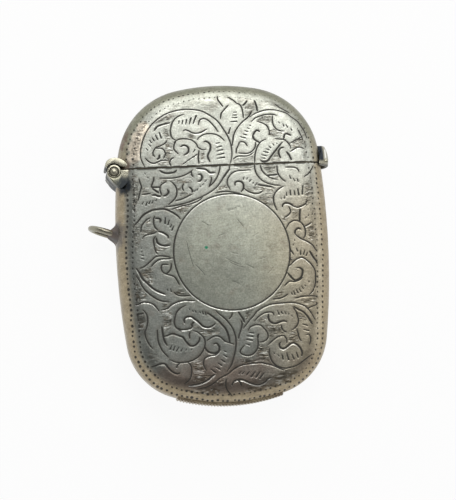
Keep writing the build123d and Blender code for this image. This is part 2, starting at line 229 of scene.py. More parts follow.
LID_VEINS = [
    (-6.1, 18.5, -6.05, 18.9), (-5.6, 18.4, -5.5, 18.95), (-5.05, 18.35, -4.9, 19.05),
    (-4.5, 18.35, -4.2, 19.3), (-3.9, 18.4, -3.4, 19.6),
    (-0.5, 15.2, 0.0, 15.3), (-0.5, 14.6, 0.25, 14.75), (-0.5, 14.0, 0.4, 14.2),
    (-0.5, 13.4, 0.55, 13.6), (-0.5, 12.9, 0.65, 13.0),
    (-4.1, 14.0, -3.8, 14.4), (-4.1, 13.3, -3.6, 13.6), (-4.6, 13.0, -4.0, 13.3),
    (-5.2, 12.6, -4.7, 12.9), (-5.8, 12.2, -5.3, 12.5),
    (-9.2, 17.3, -8.9, 16.4), (-9.8, 16.9, -9.5, 16.2), (-10.3, 16.5, -10.0, 16.0),
    (-10.7, 16.1, -10.45, 15.7), (-10.9, 15.5, -10.6, 15.2), (-11.3, 14.9, -11.1, 14.6),
    (2.4, 19.95, 2.8, 19.95), (2.25, 19.5, 2.8, 19.5), (2.15, 19.1, 2.85, 19.1),
    (1.9, 18.5, 2.8, 18.5), (1.8, 17.6, 1.5, 16.7),
    (4.75, 17.9, 4.95, 17.75), (4.4, 17.45, 4.7, 17.3), (4.0, 17.05, 4.4, 16.85),
    (3.7, 16.55, 4.2, 16.35), (3.3, 16.1, 4.0, 15.9),
    (8.8, 14.95, 8.9, 14.8), (8.2, 14.85, 8.4, 14.6), (7.6, 14.5, 7.9, 14.2),
    (7.1, 14.1, 7.6, 13.9), (6.7, 13.7, 7.4, 13.5), (6.4, 13.2, 7.1, 13.0), (6.3, 12.7, 6.9, 12.6),
    (9.3, 18.25, 9.4, 18.0), (9.95, 17.9, 10.1, 17.5), (10.45, 17.7, 10.65, 17.3),
    (11.1, 17.2, 11.3, 16.8),
]
LID_GROUND = [
    ([(-8.4, 15.6), (-7.3, 15.6), (-7.2, 14.5), (-7.6, 13.2), (-8.1, 12.3), (-8.4, 13.4), (-8.3, 14.6)], 80),
    ([(-10, 18.6), (-8.5, 18.9), (-7.5, 18.9), (-7.2, 19.4), (-6.4, 19.9), (-7.5, 20.1), (-9, 19.5)], 30),
    ([(-8.9, 17.3), (-8, 18), (-7.7, 17), (-7.5, 16.2), (-7.9, 15.9), (-8.5, 16.6)], 70),
    ([(-9.6, 12.6), (-8.3, 12.8), (-8, 12.2), (-9.6, 12.1)], 10),
    ([(-5, 17), (-4, 16.9), (-3.5, 16.2), (-3.9, 16), (-4.7, 16.2)], 20),
    ([(-3.1, 12), (-2.9, 14.1), (-2.3, 14), (-2.3, 12.4)], 85),
    ([(-8.5, 21.2), (-5, 21.9), (-1, 22.4), (0.1, 22.4), (0.3, 20.8), (-1, 20), (-3, 20.9), (-5.5, 21),
      (-8.5, 20.6)], 60, 0.5),
    ([(4.2, 19.2), (5, 19.6), (5.9, 20.1), (5.6, 21.4), (4.8, 21.4), (4.1, 20.6)], 70),
    ([(-12.6, 12.1), (-13.6, 12.1), (-13.7, 14.5), (-13.1, 16.5), (-12.2, 18.2), (-11.2, 19.5),
      (-10.8, 19.2), (-11.6, 17.6), (-12.3, 15.5), (-12.6, 14)], 20, 0.8),
    ([(5.8, 18.5), (6.8, 19.2), (8.1, 19.4), (8.2, 18.5), (7.7, 17.9), (7.2, 18.2)], 75),
    ([(7.9, 17), (8.7, 17.2), (9.7, 16.8), (9.9, 16.3), (9.4, 15.8), (8, 15.9), (7.6, 16.4)], 15),
    ([(2, 12), (5.1, 12), (5.1, 13.3), (4.2, 12.9), (2.8, 12.9), (2.1, 12.5)], 10, 0.7),
    ([(3, 21.4), (3.1, 22.4), (4, 22.4), (4.2, 21.8), (3.7, 21.3)], 60, 0.7),
    ([(6.3, 20.4), (6.2, 21.7), (8.5, 21.6), (10.3, 20.6), (11.3, 19.9), (9.2, 20.5)], 20, 0.6),
    ([(11.2, 15.2), (12.2, 15.7), (12.9, 15.6), (13.2, 14.6), (12.4, 14.3), (11.2, 13.9)], 20),
    ([(7.6, 12.1), (9.3, 12.1), (9.1, 13.4), (8.9, 14.3), (8.4, 13.4)], 60, 0.8),
    ([(12.6, 17.6), (13.4, 16.2), (13.6, 14), (13.2, 12.2), (12.8, 12.2), (13.1, 14.2), (12.8, 16)], 80, 0.8),
]
BODY_OUTLINES = [
    [(-0.05, 11.8), (-0.2, 11), (-0.6, 10), (-1.2, 9.2), (-2, 8.5)],
    [(1.45, 11.8), (1.2, 11), (0.3, 9.8), (-0.5, 8.7), (-1.2, 8.1), (-2, 7.6), (-3, 7.1),
     (-4, 6.7), (-5, 6.35), (-6, 6.1), (-7, 5.9), (-8, 5.78), (-9, 5.7)],
    [(-1, 7.55), (0, 7.72), (1, 7.7), (2, 7.5), (3, 7.25)],
    [(-9.4, 8.9), (-9.2, 9.2), (-8.7, 9.5), (-8.4, 9.6)],
    [(-7.85, 9.7), (-7.4, 9.3), (-7, 8.7), (-6.9, 8), (-7.05, 7.3), (-7.5, 6.7), (-8.3, 6)],
    [(-9.4, 8.9), (-9.5, 8.5), (-9.4, 8), (-9.3, 7.6)],
    [(-12.6, 10.2), (-12.5, 9.6), (-12.3, 9), (-12.4, 8.6), (-12.6, 8), (-12.8, 7.3), (-12.95, 6.8)],
    [(-10.35, 10.4), (-10.4, 9.9), (-10.6, 9.4), (-10.8, 8.9)],
    [(-7.2, 6.6), (-6.3, 6.8), (-5.4, 7.15), (-4.5, 7.6)],
    [(-5.8, 9.2), (-6, 8.8), (-6, 8.4), (-5.8, 8.1)],
    [(-10.5, 4.4), (-10.65, 4), (-10.7, 3.3), (-10.5, 2.6), (-10.1, 2.2)],
    [(-12.7, 2), (-12.6, 2.8), (-12.2, 3.4), (-11.7, 3.9), (-11.2, 4.1)],
    [(-12.5, 1), (-12.2, 1.4), (-11.5, 1.6), (-10.9, 1.7), (-10.3, 1.95)],
    [(-10.5, 1.3), (-10.8, 0.8), (-10.8, 0.2), (-10.7, -0.5), (-10.6, -1), (-10.3, -1.5)],
    [(-13.2, -3.6), (-12.6, -3.4), (-12, -3), (-11.4, -2.5), (-10.8, -2), (-10.3, -1.8),
     (-9.6, -1.8), (-8.4, -2)],
    [(-11.4, -3.4), (-10.9, -2.85), (-10.2, -2.4), (-9.5, -2.25), (-8.7, -2.25), (-8, -2.15)],
    [(-8.3, -2.9), (-8.3, -3.4), (-8.5, -4), (-8.9, -4.4), (-9.2, -4.5), (-9.6, -4.3),
     (-9.85, -3.8), (-9.8, -3.3), (-9.5, -3.1), (-8.7, -3.15)],
    [(-9.2, -4.6), (-8.5, -4.8), (-7.9, -5.1), (-7.5, -5.7), (-7.2, -6.3)],
    [(-13.7, -4.7), (-13.3, -5.4), (-12.9, -6.3), (-12.4, -7), (-11.8, -7.6), (-11, -8.2),
     (-10.3, -8.6), (-9.6, -8.8), (-8.9, -8.9)],
    [(-8.1, -7.4), (-7.7, -7.8), (-7.2, -8), (-6.5, -8.05), (-5.6, -8)],
    [(-10.2, -10.1), (-9.3, -9.9), (-8.6, -9.4), (-8, -9.1), (-7.2, -8.85), (-6.3, -8.75), (-4.9, -8.9)],
    [(-6.4, -9.5), (-7.2, -9.9), (-7.8, -10.5), (-8.1, -11.2), (-8.25, -12), (-8.1, -12.7),
     (-7.6, -13.2), (-7.2, -13.45)],
    [(-14, -9.1), (-13.5, -9), (-13.1, -8.8), (-12.6, -8.75), (-12, -8.85), (-11.4, -9.1),
     (-10.9, -9.6), (-10.5, -10.2)],
    [(-13, -9.9), (-12.6, -10.3), (-12.35, -10.9), (-12.3, -11.6), (-12.5, -12.6),
     (-12.8, -13.3), (-12.7, -14.2), (-12.2, -15.3), (-11.7, -15.9)],
    [(-1.8, -10.5), (-1.4, -11), (-0.8, -11.5), (-0.3, -12), (0.1, -12.5), (0.5, -13.1),
     (0.8, -13.8), (1, -14.6), (1.05, -15.2), (1, -16), (0.8, -17), (0.5, -18), (0.1, -19),
     (-0.6, -19.9)],
    [(-5.5, -12.8), (-5.9, -13.1), (-6.5, -13.2), (-7.2, -13.2), (-7.8, -12.9)],
    [(-5.5, -13.4), (-4.9, -13.6), (-4.4, -14), (-3.9, -14.5), (-3.7, -15.1), (-3.75, -15.8),
     (-4, -16.4), (-4.4, -17), (-4.9, -17.5), (-5.6, -17.9), (-6.3, -18.1), (-7, -18.2),
     (-7.8, -18.2), (-8.6, -18), (-9.2, -17.7)],
    [(-10.9, -13), (-10.9, -14), (-10.8, -15), (-10.5, -15.8), (-10.2, -16.4), (-9.4, -17.3)],
    [(-3.4, -15), (-3, -14.8), (-2.5, -14.5), (-1.9, -14.4), (-1.3, -14.6), (-0.9, -15),
     (-0.6, -15.3), (0, -15.5), (0.7, -15.75)],
    [(-1.4, -16.5), (-1.8, -17), (-2.3, -17.3), (-2.9, -17.35), (-3.4, -17.5), (-3.9, -17.8),
     (-4.1, -18.4), (-4, -19), (-3.7, -19.6)],
    [(-5.9, -13.6), (-6.05, -14), (-6, -14.6)],
    [(1.8, -19), (0.9, -19.3), (0.2, -19.8), (-0.5, -20.3), (-1.2, -20.6), (-1.9, -21),
     (-2.7, -21.6), (-3.5, -22), (-4.3, -22.2), (-5.2, -22.3)],
    [(-8.2, -19), (-8.1, -18.6), (-7.7, -18.3)],
    [(-6.5, -18.2), (-6.1, -18.6), (-5.95, -19.2), (-6, -20), (-6.2, -20.6), (-6.6, -21.1), (-7.1, -21.4)],
    [(-0.7, -21), (-0.85, -21.7), (-0.8, -22.3), (-0.5, -22.9), (0.1, -23.6)],
    [(0.6, -19.6), (1.2, -19.2), (2, -18.95), (3, -18.85), (4, -18.8), (4.8, -18.8),
     (5.6, -19), (6.3, -19.2), (7, -19.5), (7.8, -19.9), (8.4, -20.1)],
    [(6.1, -16.6), (6.05, -17.5), (6.3, -18.4), (6.6, -18.9), (7, -19.3), (7.6, -19.6),
     (8.4, -19.8), (9.2, -19.7), (10, -19.5), (10.6, -19.2), (11.2, -18.8), (11.9, -18.3), (12.7, -17.8)],
    [(5.9, -16.1), (6.3, -15.8), (6.8, -15.4), (7.4, -15), (8, -14.8), (8.4, -14.8),
     (8.7, -15.1), (8.85, -15.5), (8.8, -15.9)],
    [(10.4, -13.8), (10.6, -14.4), (10.7, -15), (10.9, -15.5), (11.1, -15.8)],
    [(11.9, -14.8), (12.3, -14.8), (12.5, -15.2), (12.5, -15.8), (12.3, -16.3)],
    [(3, -13.8), (3.3, -13.3), (3.8, -13.05), (4.4, -12.95), (5, -13.1), (5.4, -13.5),
     (5.8, -14), (6, -14.5), (5.95, -15), (5.6, -15.4), (5.1, -15.6), (4.6, -15.6)],
    [(4.45, -14.6), (4.4, -15.2), (4.4, -15.8), (4.3, -16.5), (3.9, -17.1), (3.4, -17.5),
     (2.8, -17.6), (2.2, -17.5), (1.7, -17.2), (1.6, -16.9), (1.9, -16.4), (2.3, -16)],
    [(0.7, -11), (0.5, -11.5), (0.15, -11.9)],
    [(2, -12.2), (2.1, -12.8), (1.9, -13.6), (1.6, -14.3), (1.45, -14.9)],
    [(2.3, -13.4), (2.8, -12.8), (3.3, -12.2), (3.9, -11.6), (4.4, -11), (5, -10.6),
     (5.8, -10.2), (6.6, -9.95), (7.4, -9.85), (8.3, -9.8), (9.2, -9.75), (10, -9.8),
     (11, -10), (12, -10.5), (12.7, -11.3), (13.1, -12), (13.4, -12.6)],
    [(4, -12.4), (4.6, -11.8), (5.2, -11.4), (5.8, -11.15), (6.4, -11.1), (6.9, -11.2), (7.1, -11.6)],
    [(10.1, -10.5), (10.5, -11.2), (10.7, -12), (10.8, -12.6), (10.6, -13.2), (10.2, -13.7), (9.7, -14)],
    [(8.1, -13.2), (8.2, -13.7), (8.5, -14.1), (8.9, -14.3)],
    [(9.7, -4.2), (10, -4), (10.4, -3.6), (11, -3.15), (11.5, -2.95), (12, -2.95), (12.6, -3.4),
     (13.2, -4), (13.7, -4.8), (13.8, -5.5), (13.75, -6.3), (13.7, -7), (13.5, -7.6),
     (13.2, -8.2), (12.7, -8.7)],
    [(8.9, -7.2), (9.3, -6.8), (9.8, -6.5), (10.5, -6.6), (11.2, -6.4), (11.8, -6)],
    [(7, -9.15), (7.8, -9.1), (8.5, -8.95), (9, -8.7), (9.4, -8.4)],
    [(10.4, -9.15), (11.2, -9), (11.9, -8.9), (12.7, -8.9), (13.9, -8.95)],
    [(12.3, -10.8), (13, -10.5), (13.6, -10.3), (13.9, -10)],
    [(10.95, 0.8), (11.2, 0.5), (11.8, 0), (12.5, -0.35), (13.1, -0.7), (13.6, -1.1), (14.1, -1.9)],
    [(10, -1.2), (10.2, -1.8), (10.6, -2.4)],
    [(9.6, 1.6), (9.9, 2.1), (10.2, 2.5), (10.8, 2.8), (11.3, 2.8), (11.8, 2.6), (12.2, 2.2),
     (12.5, 1.6), (12.6, 1), (12.5, 0.4), (12.2, 0)],
    [(12.4, 1.8), (12.9, 2), (13.6, 2.4)],
    [(9.9, 8.9), (9.4, 9.3), (9, 9.8), (8.75, 10.4), (8.7, 11.4)],
    [(10, 11.1), (10.8, 11.1), (11.5, 11), (11.9, 10.7), (12.1, 10.3)],
    [(9.6, 8.2), (9, 7.9), (8.4, 7.4), (8, 6.8), (7.9, 6.2), (8, 5.5), (8.2, 4.9), (8.4, 4.5)],
    [(10.9, 5.05), (11.5, 4.85), (12.1, 4.95), (12.6, 5.2), (12.9, 5.5), (13.1, 5.9)],
    [(10.2, 5), (10.4, 4.6), (10.45, 4.2), (10.2, 3.8), (9.8, 3.5), (9.4, 3.3)],
    [(5.25, 11.8), (5.25, 11.2), (5.4, 10.5), (5.7, 9.9), (6.2, 9.3), (6.8, 8.9), (7.5, 8.6),
     (8.3, 8.4), (9.1, 8.35)],
    [(6.1, 11.6), (6.3, 10.9), (6.6, 10.4), (7, 10), (7.6, 9.6), (8.1, 9.4), (8.7, 9.3)],
    [(1.3, 8), (1, 8.6), (0.9, 9.2), (1.1, 9.8), (1.6, 10.4), (2.2, 10.75), (2.8, 10.85), (4.6, 10.9)],
    [(3.5, 8.1), (3.9, 7.7), (4.5, 7.4), (5.2, 7.2), (5.9, 7.3), (6.4, 7.7)],
    [(14.4, 11.3), (14, 10.6), (13.4, 9.9), (12.8, 9.5)],
    [(-9.5, 10.2), (-8.5, 10.12), (-7.5, 10.12), (-6.5, 10.25), (-5.6, 10.5), (-4.8, 10.9), (-4.3, 11.3)],
    [(-4.5, 11), (-4.55, 10.6), (-4.3, 10.2)],
    [(-1.55, 10.1), (-1.5, 9.8), (-1.6, 9.3), (-1.9, 8.7)],
    [(-12.3, 7.8), (-11.7, 7.8), (-11, 7.9)],
    [(-7.9, 5.3), (-6.5, 5.7), (-5, 6), (-3.8, 6.4), (-3, 6.9)],
]
BODY_BOLD = [
    [(-8.35, 8.4), (-8.2, 8.1), (-8.25, 7.8), (-8.6, 7.5), (-9, 7.4)],
    [(-10.8, 8.85), (-10, 8.8), (-9.4, 8.8)],
    [(-10.7, 7.6), (-10.2, 7.6), (-9.8, 7.4), (-9.4, 7.4)],
    [(-10.6, 8.6), (-10.2, 8.3), (-9.7, 7.9)],
    [(-9.4, 11.4), (-9, 11.1), (-8.4, 10.9), (-7.8, 10.9), (-7.2, 11), (-6.8, 11.3)],
    [(-3.5, 10.5), (-3.15, 10.5), (-2.95, 10.2), (-3, 9.8), (-3.3, 9.5), (-3.6, 9.45)],
    [(-3.7, 11.45), (-3, 11.4), (-2.3, 11.25), (-1.9, 10.9), (-1.6, 10.7), (-0.9, 10.7)],
    [(-5, 8.6), (-4.7, 8.4), (-4.5, 8), (-4.6, 7.8)],
    [(-13.7, 3.1), (-13.2, 3.5), (-12.7, 4.1), (-12.2, 4.6), (-11.5, 5), (-10.7, 5.3),
     (-9.8, 5.4), (-9, 5.4), (-8.2, 5.1), (-7.4, 4.6), (-6.9, 4.2), (-6.6, 3.8)],
    [(-10.4, 4), (-10, 4), (-9.7, 3.9), (-9.6, 3.7), (-9.7, 3.4)],
    [(-10, 2), (-9.4, 1.8), (-8.9, 1.5), (-8.6, 1.2), (-8.55, 0.9)],
    [(-10.4, 1), (-10.35, 0.5), (-10.1, 0.1), (-9.6, -0.15), (-9, -0.25), (-8.4, -0.2)],
    [(-13.7, -3.5), (-13.2, -4.3), (-12.9, -5), (-12.6, -5.4), (-12, -6), (-11.4, -6.6),
     (-10.7, -7.1), (-9.9, -7.5), (-9.4, -7.7)],
    [(-13.9, -10.5), (-13.3, -10.5), (-12.9, -10.4)],
    [(-3.2, -10.8), (-2.6, -11.2), (-2, -11.7), (-1.4, -12.2), (-0.9, -12.8), (-0.5, -13.3),
     (-0.2, -14), (0, -14.8), (0.1, -15.6)],
    [(-6.7, -12.2), (-6.75, -11.7), (-6.5, -11.4), (-6, -11.25), (-5.5, -11.35), (-5.1, -11.7),
     (-4.7, -12), (-4.3, -12.4), (-3.9, -12.8), (-3.4, -13), (-2.9, -13), (-2.4, -12.8), (-2, -12.5)],
    [(-5.3, -12.1), (-5.6, -12.5), (-5.5, -12.8)],
    [(-9.9, -14.1), (-9.4, -14), (-8.9, -13.8), (-8.4, -13.8), (-7.9, -14), (-7.4, -14.2),
     (-7, -14.4), (-6.7, -14.9), (-6.4, -15.3), (-6, -15.7), (-5.5, -15.75), (-5, -15.5),
     (-4.6, -15), (-4.5, -14.5)],
    [(-10.2, -12.6), (-10.1, -13.5), (-10, -14.3), (-9.8, -15), (-9.5, -15.5)],
    [(-2.4, -15.6), (-2, -15.5), (-1.7, -15.8), (-1.55, -16.2), (-1.7, -16.7), (-2.1, -17),
     (-2.6, -17), (-3.2, -16.8), (-3.6, -16.4), (-3.8, -15.9)],
    [(-12, -18.6), (-11.4, -18.5), (-10.8, -18.3), (-10, -18.3), (-9.6, -18.8), (-9.2, -19.3),
     (-8.7, -19.7), (-8.2, -19.9), (-7.8, -19.8)],
    [(-2.4, -20.2), (-3, -20.6), (-3.5, -21), (-4.3, -21.4), (-5.1, -21.6), (-6, -21.7), (-6.5, -21.7)],
    [(0.1, -22), (0.3, -21.6), (0.7, -21.3), (1.3, -21.2), (1.9, -21.3), (2.5, -21.6),
     (3.2, -21.9), (4, -22.1), (4.6, -22), (5.2, -21.7), (5.6, -21.3), (6.1, -21.1)],
    [(1.1, -21.3), (1.4, -21.7), (1.5, -22.1)],
    [(7.9, -15.8), (7.7, -16), (7.7, -16.4), (7.9, -16.7), (8.3, -16.8), (8.7, -16.6),
     (9.1, -16.3), (9.5, -16.05), (9.9, -16), (10.3, -16.2), (10.7, -16.6), (11, -17.1),
     (11.1, -17.6), (11, -18)],
    [(4.6, -14.4), (4.45, -14.6), (4.4, -15)],
    [(1.6, -10.8), (2, -11.5), (2.3, -12), (2.5, -12.5)],
    [(6.2, -11.4), (6.2, -12), (6.4, -12.5), (6.8, -12.8), (7.3, -12.9), (7.9, -12.7),
     (8.5, -12.55), (9, -12.7)],
    [(10.2, -10.4), (10.9, -10.9), (11.6, -11.3), (12.2, -12), (12.6, -12.7), (12.9, -13.2)],
    [(11, -4.5), (11.4, -4.5), (11.8, -4.9), (11.75, -5.5), (11.5, -6), (11, -6.3),
     (10.6, -6.4), (10.2, -6.1), (9.8, -5.6), (9.5, -5.2)],
    [(13.1, -2), (13.4, -2.6), (13.7, -3.1), (14, -3.5), (14.15, -3.9)],
    [(11.9, 1.4), (11.6, 1.6), (11.3, 1.5), (11, 1.2), (10.95, 0.8)],
    [(11.8, 2.7), (11.8, 3.4), (11.85, 4), (11.95, 4.6)],
    [(9.2, 5), (9.3, 5.3), (9.6, 5.55), (10, 5.55), (10.5, 5.4), (10.9, 5.05)],
    [(7.2, 9.95), (7.9, 9.98), (8.7, 10)],
    [(2.1, 8.6), (2.1, 9), (2.4, 9.2), (2.9, 9.2), (3.3, 8.9), (3.4, 8.5), (3.3, 8), (3, 7.6)],
    [(5.6, 8.6), (6.5, 8.4), (7.3, 8.25), (8, 8.1)],
    [(1.4, 11.2), (0.9, 10.6), (0.3, 9.8)],
]
BODY_VEINS = [
    (-12.1, 6.7, -12.3, 6.3), (-11.5, 6.65, -11.75, 6.1), (-11.05, 6.8, -11.25, 6.3),
    (-10.6, 6.8, -10.8, 6.4), (-10.05, 7.0, -10.2, 6.7), (-11.7, 11.1, -11.6, 10.9),
    (-11.3, 10.45, -11.2, 10.3),
    (-2.3, 9.6, -2.5, 9.4), (-2.7, 9.1, -2.9, 8.9), (-3.1, 8.8, -3.3, 8.6),
    (-3.6, 8.4, -3.8, 8.1), (-4.0, 8.2, -4.2, 7.95),
    (-8.85, 4.1, -8.95, 3.2), (-8.25, 3.7, -8.5, 3.0), (-7.95, 3.1, -8.15, 2.6),
    (-7.6, 2.8, -7.95, 2.1),
    (-12.75, -0.3, -12.75, -0.5), (-12.75, -0.85, -12.75, -1.05), (-12.9, -1.5, -12.5, -1.6),
    (-12.9, -2.05, -12.5, -2.15),
    (-5.9, -10.0, -5.8, -10.2), (-5.4, -10.25, -5.3, -10.5), (-5.0, -10.3, -4.9, -10.6),
    (-4.3, -10.45, -4.2, -10.75), (-3.85, -10.5, -3.75, -10.95), (-3.45, -10.6, -3.35, -11.1),
    (-9.1, -6.9, -9.0, -7.1), (-8.6, -6.8, -8.5, -7.3),
    (-8.8, -15.5, -9.1, -16.1), (-8.3, -15.6, -8.6, -16.25), (-7.75, -15.85, -8.1, -16.4),
    (-7.2, -16.0, -7.45, -16.45), (-6.55, -16.1, -6.7, -16.35), (-5.8, -16.15, -5.9, -16.35),
    (-0.95, -16.65, -0.55, -16.9), (-1.0, -17.3, -0.5, -17.65), (-1.4, -18.0, -0.85, -18.4),
    (-1.9, -18.5, -1.35, -18.95), (-2.3, -19.1, -1.65, -19.5), (-3.0, -19.4, -2.35, -19.95),
    (1.6, -19.95, 1.3, -20.25), (2.1, -20.0, 1.75, -20.35), (2.85, -20.05, 2.45, -20.5),
    (3.75, -20.1, 3.1, -20.85), (4.55, -20.1, 3.85, -20.95), (5.05, -20.4, 4.4, -21.15),
    (6.8, -17.3, 6.85, -17.5), (7.35, -17.6, 7.5, -17.9), (8.0, -17.7, 8.1, -18.4),
    (8.75, -17.5, 8.95, -18.5), (9.5, -17.7, 9.8, -18.45), (10.2, -17.4, 10.45, -18.2),
    (11.4, -13.15, 12.1, -13.4), (11.5, -14.0, 12.25, -14.2),
    (3.1, -14.1, 3.75, -14.2), (2.8, -14.6, 3.65, -14.75), (2.65, -15.15, 3.5, -15.3),
    (2.5, -15.8, 3.1, -16.0),
    (7.65, -10.9, 7.85, -11.5), (8.2, -11.0, 8.35, -11.45), (8.75, -11.1, 8.9, -11.45),
    (9.3, -11.3, 9.35, -11.55), (9.75, -11.7, 9.85, -11.9),
    (9.9, -8.2, 10.05, -8.55), (10.3, -8.0, 10.45, -8.55), (10.7, -7.8, 10.95, -8.35),
    (11.15, -7.7, 11.4, -8.15), (11.6, -7.4, 11.8, -7.75), (12.0, -7.15, 12.15, -7.35),
    (12.65, -6.55, 12.75, -6.75),
    (11.05, -1.4, 11.2, -1.9), (11.7, -1.75, 11.65, -2.45), (12.35, -1.75, 12.1, -2.45),
    (12.75, -2.1, 12.5, -2.65), (10.9, 0.0, 10.85, -0.25), (10.7, -0.7, 10.6, -0.95),
    (12.85, 3.4, 12.75, 3.15), (13.25, 3.7, 13.15, 3.5), (13.85, 3.95, 13.75, 3.65),
    (10.55, 9.85, 10.75, 9.3), (11.1, 9.4, 11.35, 8.95), (11.7, 9.35, 11.85, 8.85),
    (9.15, 6.5, 9.1, 6.25), (9.6, 6.7, 9.6, 6.3), (10.0, 7.25, 9.95, 6.75),
    (10.55, 7.6, 10.6, 6.8), (11.2, 7.45, 11.25, 6.8), (11.75, 7.7, 11.85, 6.75),
    (12.55, 8.2, 12.4, 6.85),
    (3.55, 9.85, 3.4, 9.5), (4.05, 9.75, 3.95, 9.5), (4.65, 9.45, 4.35, 9.1),
    (5.0, 9.05, 4.85, 8.8), (5.55, 8.9, 5.2, 8.5),
]
